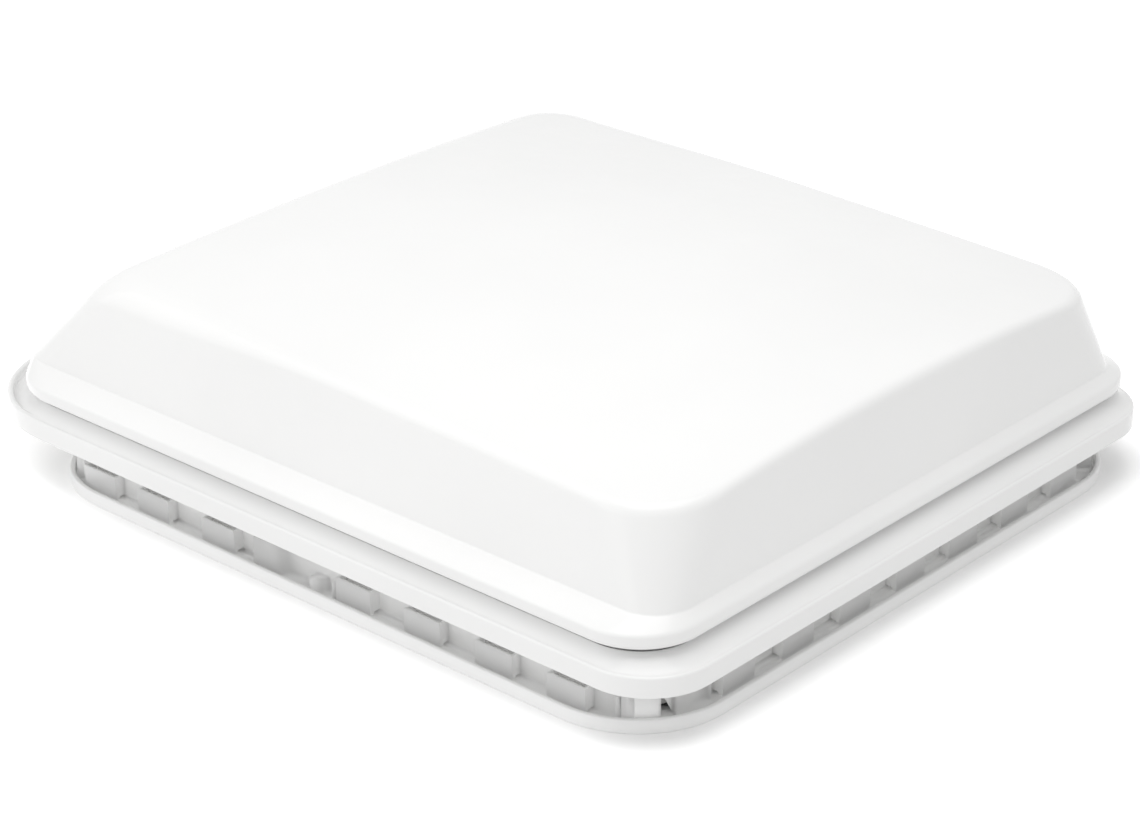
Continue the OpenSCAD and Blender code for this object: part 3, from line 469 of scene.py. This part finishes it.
def plastic(name, base, rough, change=0.012, grain=900.0, relief=0.06, depth=0.0001):
    """Moulded plastic: faint cloudiness, uneven gloss and a fine moulded grain."""
    _, tree, shader, place = new_material(name)
    cloud = noise(tree, place, scale=9.0, detail=3.0)
    tree.links.new(tint(tree, cloud, base, change), shader.inputs["Base Color"])
    patches = noise(tree, place, scale=60.0)
    tree.links.new(spread(tree, patches, *rough), shader.inputs["Roughness"])
    bump(tree, shader, noise(tree, place, grain, detail=1.0), relief, depth)
    shader.inputs["IOR"].default_value = PLASTIC_IOR


def rubber(name, base):
    """Matt extruded rubber with a dusty bloom."""
    _, tree, shader, place = new_material(name)
    bloom = noise(tree, place, scale=40.0, detail=4.0)
    tree.links.new(tint(tree, bloom, base, change=0.35), shader.inputs["Base Color"])
    patches = noise(tree, place, scale=120.0)
    tree.links.new(spread(tree, patches, low=0.62, high=0.82), shader.inputs["Roughness"])
    bump(tree, shader, noise(tree, place, scale=700.0), strength=0.15, distance=0.0002)


def foam(name, base):
    """Closed-cell foam strip with small pores."""
    _, tree, shader, place = new_material(name)
    cloud = noise(tree, place, scale=60.0, detail=4.0)
    tree.links.new(tint(tree, cloud, base, change=0.10), shader.inputs["Base Color"])
    cells = add(tree, "ShaderNodeTexVoronoi", {"Vector": place, "Scale": 900.0})
    bump(tree, shader, cells.outputs["Distance"], strength=0.35, distance=0.0004)
    shader.inputs["Roughness"].default_value = 0.85


def metal(name, base, rough, stretch):
    """Drawn or rolled metal with fine lines along one axis."""
    _, tree, shader, place = new_material(name)
    lines = noise(tree, place, scale=260.0, detail=3.0, stretch=stretch)
    tree.links.new(tint(tree, lines, base, change=0.08), shader.inputs["Base Color"])
    patches = noise(tree, place, scale=45.0)
    tree.links.new(spread(tree, patches, *rough), shader.inputs["Roughness"])
    bump(tree, shader, lines, strength=0.05, distance=0.0001)
    shader.inputs["Metallic"].default_value = 1.0


def finishes():
    """All finishes by name, made once."""
    shades = bpy.context.scene.roof_vent_colours
    if "gloss white" not in bpy.data.materials:
        plastic("gloss white", shades.gloss, rough=(0.16, 0.26), grain=260.0, relief=0.03, depth=0.0002)
        plastic("satin white", shades.satin, rough=(0.34, 0.46), grain=1400.0, relief=0.10)
        rubber("seal rubber", shades.rubber)
        foam("gasket foam", shades.foam)
        plastic("grey plastic", shades.grey, rough=(0.38, 0.5), change=0.04, grain=1200.0, relief=0.12)
        plastic("black plastic", shades.black, rough=(0.35, 0.5), change=0.1, grain=1200.0, relief=0.1)
        metal("bright steel", shades.steel, rough=(0.2, 0.34), stretch=(1.0, 0.06, 1.0))
        metal("zinc sheet", shades.zinc, rough=(0.3, 0.46), stretch=(0.08, 1.0, 1.0))
        plastic("screen thread", shades.thread, rough=(0.5, 0.65), change=0.08, grain=2000.0)
    return bpy.data.materials


def node_tree(name, sizes):
    """Empty Geometry Nodes tree with a mesh input, named sizes and a material input."""
    tree = bpy.data.node_groups.new(name, "GeometryNodeTree")
    tree.interface.new_socket(name="Geometry", in_out="INPUT", socket_type="NodeSocketGeometry")
    for size in sizes:
        tree.interface.new_socket(name=size, in_out="INPUT", socket_type="NodeSocketFloat")
    tree.interface.new_socket(name="Material", in_out="INPUT", socket_type="NodeSocketMaterial")
    tree.interface.new_socket(name="Geometry", in_out="OUTPUT", socket_type="NodeSocketGeometry")
    return tree, tree.nodes.new("NodeGroupInput").outputs


def joined(tree, *parts):
    """Several geometries in one."""
    node = tree.nodes.new("GeometryNodeJoinGeometry")
    for part in parts:
        tree.links.new(part, node.inputs[0])
    return node.outputs[0]


def close_tree(tree, size, result):
    """Realizes the instances, sets the material and ends the tree."""
    real = add(tree, "GeometryNodeRealizeInstances", {"Geometry": result})
    done = add(tree, "GeometryNodeSetMaterial", {"Geometry": real.outputs[0], "Material": size["Material"]})
    add(tree, "NodeGroupOutput", {"Geometry": done.outputs[0]})
    return tree


def run_tree(obj, tree, values):
    """Puts a tree on an object with its inputs set by identifier."""
    modifier = obj.modifiers.new(tree.name, "NODES")
    modifier.node_group = tree
    for item in tree.interface.items_tree:
        if item.in_out == "INPUT" and item.name in values:
            modifier[item.identifier] = values[item.name]


def cone(tree, sides, lower, upper, height):
    """Closed cone or cylinder that stands on the origin."""
    sizes = {"Vertices": sides, "Radius Bottom": lower, "Radius Top": upper, "Depth": height}
    return add(tree, "GeometryNodeMeshCone", sizes).outputs["Mesh"]


def screw_tree():
    """Cross-head screws on points, their heads down and their shanks up."""
    tree, size = node_tree("cross screws", ("Face Radius", "Neck Radius", "Head Height", "Shank Radius",
                                            "Shank Length", "Recess Width", "Recess Depth", "Turn"))
    head = cone(tree, HEAD_SIDES, size["Face Radius"], size["Neck Radius"], size["Head Height"])
    cut = add(tree, "GeometryNodeMeshBoolean", {"Mesh 1": head}, operation="DIFFERENCE")
    wide = size["Recess Width"]
    slot = reckon(tree, "MULTIPLY", wide, SLOT_SHARE)
    # The bars are centred on the head's face, so that half of each bar cuts
    deep = reckon(tree, "MULTIPLY", size["Recess Depth"], 2.0)
    for sides in ((wide, slot), (slot, wide)):
        bar = add(tree, "GeometryNodeMeshCube", {"Size": vector(tree, *sides, deep)})
        tree.links.new(bar.outputs[0], cut.inputs["Mesh 2"])
    shank = cone(tree, SHANK_SIDES, size["Shank Radius"], size["Shank Radius"], size["Shank Length"])
    neck = vector(tree, z=size["Head Height"])
    raised = add(tree, "GeometryNodeTransform", {"Geometry": shank, "Translation": neck})
    screw = joined(tree, cut.outputs["Mesh"], raised.outputs[0])
    spots = add(tree, "GeometryNodeInstanceOnPoints", {
        "Points": size["Geometry"], "Instance": screw, "Rotation": vector(tree, size["Turn"])})
    return close_tree(tree, size, spots.outputs[0])


def thread_set(tree, size, across, along, lean):
    """Parallel zigzag threads, set out on the axis across and following the axis along."""
    pitch = size["Pitch"]
    index = tree.nodes.new("GeometryNodeInputIndex").outputs[0]
    odd = reckon(tree, "MODULO", index, 2.0)

    def line(axis):
        """Points one pitch apart on an axis, centred on the origin."""
        span = size[{"x": "Width", "y": "Depth"}[axis]]
        steps = reckon(tree, "ROUND", reckon(tree, "DIVIDE", span, pitch), 0.0)
        start = reckon(tree, "MULTIPLY", reckon(tree, "MULTIPLY", steps, pitch), -0.5)
        points = add(tree, "GeometryNodeMeshLine", {
            "Count": reckon(tree, "ADD", steps, 1.0), "Start Location": vector(tree, **{axis: start}),
            "Offset": vector(tree, **{axis: pitch})}, mode="OFFSET")
        return points.outputs[0]

    swing = reckon(tree, "MULTIPLY", size["Thread"], lean)
    wave = reckon(tree, "MULTIPLY", reckon(tree, "SUBTRACT", odd, 0.5), swing)
    zigzag = add(tree, "GeometryNodeSetPosition", {"Geometry": line(along), "Offset": vector(tree, z=wave)})
    curve = add(tree, "GeometryNodeMeshToCurve", {"Mesh": zigzag.outputs[0]})
    radius = reckon(tree, "MULTIPLY", size["Thread"], 0.5)
    ring = add(tree, "GeometryNodeCurvePrimitiveCircle", {"Resolution": THREAD_SIDES, "Radius": radius})
    thread = add(tree, "GeometryNodeCurveToMesh", {
        "Curve": curve.outputs[0], "Profile Curve": ring.outputs[0], "Fill Caps": True})
    turn = vector(tree, **{along: reckon(tree, "MULTIPLY", odd, math.pi)})
    threads = add(tree, "GeometryNodeInstanceOnPoints", {
        "Points": line(across), "Instance": thread.outputs[0], "Rotation": turn})
    return threads.outputs[0]


def weave_tree():
    """Plain weave: two sets of threads that pass over and under each other."""
    tree, size = node_tree("plain weave", ("Width", "Depth", "Pitch", "Thread"))
    sets = (thread_set(tree, size, "x", "y", 1.0), thread_set(tree, size, "y", "x", -1.0))
    return close_tree(tree, size, joined(tree, *sets))


def eased(s):
    """Smooth step from 0 to 1."""
    s = min(1.0, max(0.0, s))
    return s * s * (3 - 2 * s)


def bent(a, b, c, s):
    """Point on a quadratic curve."""
    return a * (1 - s) ** 2 + b * (2 * s * (1 - s)) + c * s * s


def rounded_outline(dome, bounds, free_radius, hinge_radius):
    """Points round a rounded rectangle, the same number for any size."""
    x0, x1, y0, y1 = bounds
    r, q = free_radius, hinge_radius
    arcs = []
    for k, (cx, cy, radius) in enumerate(((x1 - r, y1 - r, r), (x0 + q, y1 - q, q),
                                          (x0 + q, y0 + q, q), (x1 - r, y0 + r, r))):
        turns = [math.radians(90 * (k + j / dome.arc_steps)) for j in range(dome.arc_steps + 1)]
        arcs.append([Vector((cx + radius * math.cos(a), cy + radius * math.sin(a))) for a in turns])
    points = []
    spans = dome.side_steps + 1
    for k in range(4):
        points += arcs[k]
        start, end = arcs[k][-1], arcs[(k + 1) % 4][0]
        points += [start.lerp(end, j / spans) for j in range(1, spans)]
    return points


def inset_outline(dome, low, high, inset, free_radius, hinge_radius):
    """Outline of a box with rounded corners, moved inwards."""
    bounds = (low.x + inset, high.x - inset, low.y + inset, high.y - inset)
    return rounded_outline(dome, bounds, free_radius - inset, hinge_radius - inset)


def bridge(bm, near, far, outwards=True):
    """Faces between two rings of vertices."""
    count = len(near)
    for i in range(count):
        face = (near[i], near[(i + 1) % count], far[(i + 1) % count], far[i])
        bm.faces.new(face if outwards else face[::-1])


def dome_middle(dome):
    """Middle of the crown's curves along X."""
    return (DOME_LOW.x + dome.flare_hinge + DOME_HIGH.x - dome.flare_free) / 2


def on_crown(dome, t, x, y):
    """Point of the crowned top of one skin, t inside the outer one."""
    u = x - dome_middle(dome)
    curves = u * u / (2 * dome.crown_along) + y * y / (2 * dome.crown_across)
    lift = dome.corner_lift * (u / dome.corner_x) ** 2 * (y / dome.corner_y) ** 2
    return Vector((x, y, dome.crown_height - t - dome.crown_tilt * u - curves + lift))


def shoulder_at(dome, x):
    """Length of the shoulder's curve: soft near the hinge, tighter from the middle to the free end."""
    share = eased((x + dome.shoulder_run) / dome.shoulder_run)
    return dome.shoulder_hinge + (dome.shoulder - dome.shoulder_hinge) * share


def rim_drop(dome, x):
    """How far the rim's upper edge has fallen at a place near the hinge end."""
    return dome.rim_fall * eased((dome_middle(dome) - dome.fall_start - x) / dome.fall_run)


def wall_outline(dome, t, h):
    """Outline of the wall of one skin at a height above the flare."""
    lean = math.sqrt(1 + dome.slope_hinge ** 2)
    k = min(dome.corner_limit, max(0.0, h / dome.corner_rise))
    bounds = (DOME_LOW.x + dome.flare_hinge + t * lean + dome.slope_hinge * h,
              DOME_HIGH.x - dome.flare_free - t - dome.slope_free * h,
              DOME_LOW.y + dome.flare_side + t + dome.slope_side * h,
              DOME_HIGH.y - dome.flare_side - t - dome.slope_side * h)
    free_radius = dome.wall_radius + (dome.top_radius - dome.wall_radius) * k - t
    hinge_radius = dome.wall_radius + (dome.hinge_radius - dome.wall_radius) * min(1.0, k) - t
    return rounded_outline(dome, bounds, free_radius, hinge_radius)


def meeting_ring(dome, t, wall_z):
    """Points where the wall of one skin and its crowned top would meet in a sharp edge."""
    rows = [wall_outline(dome, t, z - wall_z) for z in LEVELS]

    def on_wall(i, z):
        k = min(len(LEVELS) - 2, max(0, int((z - LEVELS[0]) / LEVEL_STEP)))
        p = rows[k][i].lerp(rows[k + 1][i], (z - LEVELS[k]) / LEVEL_STEP)
        return Vector((p.x, p.y, z))

    ring = []
    for i in range(len(rows[0])):
        tip = on_wall(i, MEETING_GUESS)
        for _ in range(MEETING_ROUNDS):
            tip = on_wall(i, on_crown(dome, t, tip.x, tip.y).z)
        ring.append(tip)
    return ring


def towards(points, targets, reach):
    """Points moved by a distance towards their targets."""
    return [p + (q - p).normalized() * reach for p, q in zip(points, targets)]


def between(starts, ends, shares):
    """Rings at shares of the way from one ring to another."""
    return [[a.lerp(b, s) for a, b in zip(starts, ends)] for s in shares]


def rounded(starts, corners, ends, steps):
    """Rings that curve from one ring to another past a ring of corners."""
    return [[bent(a, b, c, j / steps) for a, b, c in zip(starts, corners, ends)] for j in range(steps + 1)]


def dome_rings(dome, t):
    """Rings of points of one skin, t inside the outer one, from the foot to the crown."""
    foot_z = DOME_LOW.z
    rim_z = foot_z + dome.rim_height - INNER_RIM_FALL * t
    wall_z = foot_z + dome.rim_height + dome.flare_height
    foot = inset_outline(dome, DOME_LOW, DOME_HIGH, t, dome.foot_radius, dome.foot_hinge_radius)
    low = [Vector((p.x, p.y, foot_z)) for p in foot]
    rim = [Vector((p.x, p.y, rim_z - rim_drop(dome, p.x))) for p in foot]
    base = [Vector((p.x, p.y, wall_z)) for p in wall_outline(dome, t, 0.0)]
    tips = meeting_ring(dome, t, wall_z)
    pole = Vector((dome_middle(dome) + CROWN_POLE, 0.0))
    below, above = [], []
    for tip, root in zip(tips, base):
        reach = shoulder_at(dome, tip.x)
        inner = tip.to_2d() + (pole - tip.to_2d()).normalized() * reach
        below.append(tip - (tip - root).normalized() * reach)
        above.append(on_crown(dome, t, inner.x, inner.y))
    down = towards(rim, low, dome.edge * RIM_EDGE_SHARE)
    up = towards(rim, base, dome.edge)
    before = towards(base, rim, dome.crease)
    after = towards(base, below, dome.crease)
    rings = [[p + Vector((0, 0, dome.foot_edge)) for p in low]]
    rings += between(low, rim, RIM_SHARES)
    rings += rounded(down, rim, up, EDGE_STEPS)
    rings += between(up, before, FLARE_SHARES)
    rings += rounded(before, base, after, CREASE_STEPS)
    rings += between(after, below, [j / WALL_STEPS for j in range(1, WALL_STEPS)])
    rings += rounded(below, tips, above, SHOULDER_STEPS)
    for j in range(1, CROWN_STEPS):
        s = (j / CROWN_STEPS) ** CROWN_SPACING
        rings.append([on_crown(dome, t, p.x + (pole.x - p.x) * s, p.y * (1 - s)) for p in above])
    return rings, on_crown(dome, t, pole.x, pole.y)


def skin_faces(bm, rings, crown, outwards):
    """Lofts rings to the crown and returns the first ring's vertices."""
    rows = [[bm.verts.new(p) for p in ring] for ring in rings]
    tip = bm.verts.new(crown)
    for low, high in zip(rows, rows[1:]):
        bridge(bm, low, high, outwards)
    last = rows[-1]
    for near, far in zip(last, last[1:] + last[:1]):
        bm.faces.new((near, far, tip) if outwards else (tip, far, near))
    return rows[0]


class ROOFVENT_OT_dome(bpy.types.Operator):
    """Builds the domed lid as a smooth double-walled shell"""

    bl_idname = "roof_vent.dome"
    bl_label = "Domed Lid"

    def execute(self, context):
        dome = context.scene.roof_vent_dome
        bm = bmesh.new()
        outer = skin_faces(bm, *dome_rings(dome, 0.0), outwards=True)
        inner = skin_faces(bm, *dome_rings(dome, dome.skin), outwards=False)
        foot = between([v.co for v in outer], [v.co for v in inner], FOOT_SHARES)
        lower = [[bm.verts.new((p.x, p.y, DOME_LOW.z)) for p in ring] for ring in foot]
        rows = [outer, *lower, inner]
        for near, far in zip(rows, rows[1:]):
            bridge(bm, far, near)
        lid = object_from_bmesh("dome_lid", bm, finishes()["gloss white"])
        stand_in(lid, "dome_shell")
        return {"FINISHED"}


def band_height(flange, x, share, run):
    """Height of the flange's band at a share of its width and a distance from the lip."""
    turn = eased((flange.turn_start - x) / (flange.turn_start - flange.turn_end))
    top = flange.top + (flange.hinge_top - flange.top) * turn
    dip = flange.tray * turn * eased((run - flange.tray_start) / flange.tray_wall) * (1 - share)
    return flange.lip_height + (top - flange.lip_height) * share ** flange.bend - dip


def lay_band(bm, flange, dome):
    """Adds the band from the lip to under the dome's edge as a closed ring, in the upstand's place."""
    for v in bm.verts:
        if abs(v.co.x) > flange.crest_ends and flange.lip_height < v.co.z < flange.crest:
            v.co.z = flange.lip_height
    lip = inset_outline(dome, *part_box("outer_frame"), flange.lip, flange.radius, flange.hinge_radius)
    foot = inset_outline(dome, DOME_LOW, DOME_HIGH, flange.tuck, dome.foot_radius, dome.foot_hinge_radius)
    rows = []
    for k in range(flange.steps + 1):
        share = (k / flange.steps) ** BAND_SPACING
        row = []
        for p, q in zip(lip, foot):
            place = p.lerp(q, share)
            height = band_height(flange, place.x, share, (place - p).length)
            row.append(bm.verts.new((place.x, place.y, height)))
        rows.append(row)
    rows += [[bm.verts.new((p.x, p.y, flange.under)) for p in outline] for outline in (foot, lip)]
    for near, far in zip(rows, rows[1:] + rows[:1]):
        bridge(bm, near, far)


class ROOFVENT_OT_frames(bpy.types.Operator):
    """Lays the band on the roof flange and finishes the lower frame, the dome's ring and the seals"""

    bl_idname = "roof_vent.frames"
    bl_label = "Roof Flange and Lower Frame"

    def execute(self, context):
        finish = finishes()
        scene = context.scene
        smoothed("outer_frame", "roof_flange", finish["gloss white"],
                 shape=lambda bm: lay_band(bm, scene.roof_vent_flange, scene.roof_vent_dome))
        smoothed("inner_frame", "lower_frame", finish["satin white"])
        smoothed("dome_ring", "dome_ring_look", finish["satin white"])
        dress(finish["seal rubber"], "dome_seal")
        dress(finish["gasket foam"], "roof_gasket")
        return {"FINISHED"}


class ROOFVENT_OT_lift(bpy.types.Operator):
    """Finishes the hinges, rails, arms, shaft, gear and pins, and the crank's lever"""

    bl_idname = "roof_vent.lift"
    bl_label = "Hinges and Lift"

    nodes = {
        "zinc sheet": ("rail_left", "rail_right", "lift_arm_left", "lift_arm_right"),
        "bright steel": ("hinge_pins", "cross_shaft", "drive_pins", "roller_pins", "worm_spindle",
                         "lever_pin", "flyscreen_pins"),
        "grey plastic": ("shaft_bushes", "gearbox_housing", "gearbox_cover", "worm_wheel", "hinge_leaves",
                         "crank_lever"),
        "black plastic": ("roller_left", "roller_right"),
    }

    def execute(self, context):
        for finish, nodes in self.nodes.items():
            for node in nodes:
                smoothed(node, node + "_look", finishes()[finish])
        return {"FINISHED"}


class ROOFVENT_OT_screws(bpy.types.Operator):
    """Builds the cross-head screws in the places of the plain ones"""

    bl_idname = "roof_vent.screws"
    bl_label = "Screws"

    def execute(self, context):
        shares = context.scene.roof_vent_screws
        steel = finishes()["bright steel"]
        tree = screw_tree()
        for node, sunk, up in (("clamp_screws", True, False), ("gearbox_screws", False, True),
                               ("hinge_screws", False, False), ("rail_screws", False, False)):
            boxes = islands(node)
            low, high = boxes[0]
            r = (high.x - low.x) / 2
            places = [((a.x + b.x) / 2, (a.y + b.y) / 2, b.z if up else a.z) for a, b in boxes]
            mesh = bpy.data.meshes.new(node + "_look")
            mesh.from_pydata(places, [], [])
            screws = mesh_object(node + "_look", mesh, steel)
            run_tree(screws, tree, {
                "Face Radius": r if sunk else r * shares.pan, "Neck Radius": r * shares.shank if sunk else r,
                "Head Height": r * shares.head, "Shank Radius": r * shares.shank,
                "Shank Length": high.z - low.z - r * shares.head, "Recess Width": r * shares.recess,
                "Recess Depth": r * shares.recess_depth, "Turn": math.pi if up else 0.0, "Material": steel})
            edges = screws.modifiers.new("edges", "BEVEL")
            edges.width = shares.edge
            edges.segments = BEVEL_SEGMENTS
            apply_modifiers(screws, steel)
            screws.data.shade_smooth()
            screws.data.set_sharp_from_angle(angle=HARD_ANGLE)
            stand_in(screws, node)
        return {"FINISHED"}


class ROOFVENT_OT_screen(bpy.types.Operator):
    """Weaves the insect screen and finishes its frame, its catches and the crank's disc"""

    bl_idname = "roof_vent.screen"
    bl_label = "Crank and Screen"

    def execute(self, context):
        sizes = context.scene.roof_vent_screen
        finish = finishes()
        for node in ("crank_disc", "flyscreen_frame", "catch_left", "catch_right"):
            smoothed(node, node + "_look", finish["satin white"])
        low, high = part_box("flyscreen_mesh")
        thread = finish["screen thread"]
        screen = mesh_object("woven_screen", bpy.data.meshes.new("woven_screen"), thread)
        run_tree(screen, weave_tree(), {"Width": high.x - low.x, "Depth": high.y - low.y,
                                        "Pitch": sizes.pitch, "Thread": sizes.thread, "Material": thread})
        apply_modifiers(screen, thread)
        screen.data.transform(Matrix.Translation((low + high) / 2))
        stand_in(screen, "flyscreen_mesh")
        return {"FINISHED"}


class ROOFVENT_OT_stage(bpy.types.Operator):
    """Builds the floor, the light and the camera"""

    bl_idname = "roof_vent.stage"
    bl_label = "Studio"

    def execute(self, context):
        scene = context.scene
        stage = scene.roof_vent_stage
        scene.view_settings.view_transform = "Standard"
        scene.cycles.max_bounces = stage.bounces
        scene.cycles.diffuse_bounces = stage.bounces
        self.floor(stage)
        self.world(scene, stage)
        for box in ("over", "side", "low"):
            place, size, watts = (getattr(stage, f"{box}_{what}") for what in ("place", "size", "power"))
            self.lamp(scene, "soft_box_" + box, place, size, watts)
        self.camera(scene, stage)
        return {"FINISHED"}

    def floor(self, stage):
        """Plain pale floor under the lower frame; where it is seen it is white apart from the shadow. Next to
        the vent a painted contact shadow darkens it on top of the real one, and towards the hinge end painted
        light lightens the shadow under the flange's corner.
        """
        material, tree, shader, place = new_material("studio floor")
        tree.nodes.remove(shader)
        shade = tint(tree, noise(tree, place, scale=3.0), stage.floor, change=0.004)
        plain = add(tree, "ShaderNodeBsdfDiffuse", {"Color": shade})
        # Painted shadow: the seen floor's colour is darkened next to the vent by its openness, on top of the
        # real shadow
        openness = add(tree, "ShaderNodeAmbientOcclusion", {"Distance": stage.contact})
        painted_contact_shade = add(tree, "ShaderNodeMapRange", {
            "Value": openness.outputs["AO"], "From Min": DARKEST_OPENNESS,
            "To Min": stage.floor_seen * stage.painted_shadow_share, "To Max": stage.floor_seen})
        # Painted light: the seen floor grows paler towards the hinge end, lightening the shadow under the
        # flange's corner there
        split = add(tree, "ShaderNodeSeparateXYZ", {0: place})
        paler = add(tree, "ShaderNodeMapRange", {
            "Value": split.outputs["X"], "From Min": stage.painted_light_start, "From Max": stage.painted_light_end,
            "To Min": 1.0, "To Max": stage.painted_light_share}, interpolation_type="SMOOTHSTEP")
        # Seen brightness, carrying the painted contact shadow and the painted light towards the hinge end
        brightness = reckon(tree, "MULTIPLY", painted_contact_shade.outputs["Result"], paler.outputs["Result"])
        seen = add(tree, "ShaderNodeBsdfDiffuse", {"Color": brightness})
        end_seen(tree, plain, seen, tree.nodes["Material Output"])
        bm = bmesh.new()
        bmesh.ops.create_grid(bm, x_segments=2, y_segments=2, size=FLOOR_HALF)
        bmesh.ops.translate(bm, verts=bm.verts, vec=(0, 0, CAD_BOX[0].z - FLOOR_GAP))
        floor = object_from_bmesh("studio_floor", bm, material)

    def world(self, scene, stage):
        """Even light all round; what is seen directly or mirrored is white."""
        world = bpy.data.worlds.new("studio")
        scene.world = world
        world.use_nodes = True
        tree = world.node_tree
        tree.nodes.clear()
        light, seen = (add(tree, "ShaderNodeBackground", {"Color": WHITE, "Strength": strength})
                       for strength in (stage.world_light, WHITE_STRENGTH))
        end_seen(tree, light, seen, tree.nodes.new("ShaderNodeOutputWorld"))

    def lamp(self, scene, name, place, size, watts):
        """Square soft box aimed at the vent."""
        data = bpy.data.lights.new(name, "AREA")
        data.shape = "SQUARE"
        data.size = size
        data.energy = watts
        lamp = bpy.data.objects.new(name, data)
        scene.collection.objects.link(lamp)
        lamp.location = place
        lamp.rotation_mode = "QUATERNION"
        lamp.rotation_quaternion = (-lamp.location).to_track_quat("-Z", "Y")

    def camera(self, scene, stage):
        """Camera at the photograph's angle; the shift sets the photograph's framing."""
        data = bpy.data.cameras.new("camera")
        camera = bpy.data.objects.new("camera", data)
        scene.collection.objects.link(camera)
        a, e = math.radians(stage.azimuth), math.radians(stage.elevation)
        back = Vector((math.sin(a) * math.cos(e), -math.cos(a) * math.cos(e), math.sin(e)))
        camera.location = Vector((stage.target, 0, 0)) + back * stage.distance
        camera.rotation_mode = "QUATERNION"
        camera.rotation_quaternion = (-back).to_track_quat("-Z", "Y")
        data.sensor_fit = "HORIZONTAL"
        data.sensor_width = SENSOR_WIDTH
        data.lens = stage.lens
        data.shift_x = stage.shift_x
        data.shift_y = stage.shift_y
        data.clip_start = CLIP_NEAR
        data.clip_end = CLIP_FAR
        scene.camera = camera


class ROOFVENT_PT_panel(bpy.types.Panel):
    """Sidebar with the vent's sizes and builders"""

    bl_label = "Roof Vent"
    bl_idname = "ROOFVENT_PT_panel"
    bl_space_type = "VIEW_3D"
    bl_region_type = "UI"
    bl_category = "Roof Vent"

    def draw(self, context):
        layout = self.layout
        for name, group in GROUPS.items():
            box = layout.box()
            for size in group.__annotations__:
                box.prop(getattr(context.scene, name), size)
        for operator in OPERATORS:
            layout.operator(operator.bl_idname)


OPERATORS = (ROOFVENT_OT_dome, ROOFVENT_OT_frames, ROOFVENT_OT_lift, ROOFVENT_OT_screws, ROOFVENT_OT_screen,
             ROOFVENT_OT_stage)
GROUPS = {
    "roof_vent_dome": RoofVentDome,
    "roof_vent_flange": RoofVentFlange,
    "roof_vent_screws": RoofVentScrews,
    "roof_vent_screen": RoofVentScreen,
    "roof_vent_colours": RoofVentColours,
    "roof_vent_stage": RoofVentStage,
}


def register():
    """Adds the classes and the scene's settings."""
    for made in (*GROUPS.values(), *OPERATORS, ROOFVENT_PT_panel):
        bpy.utils.register_class(made)
    for name, group in GROUPS.items():
        setattr(bpy.types.Scene, name, PointerProperty(type=group))


def unregister():
    """Removes the classes and the scene's settings."""
    for name in GROUPS:
        delattr(bpy.types.Scene, name)
    for made in (ROOFVENT_PT_panel, *OPERATORS[::-1], *list(GROUPS.values())[::-1]):
        bpy.utils.unregister_class(made)


def main():
    """Builds the vent and its studio."""
    register()
    for operator in OPERATORS:
        group, name = operator.bl_idname.split(".")
        getattr(getattr(bpy.ops, group), name)()


if __name__ == "__main__":
    main()
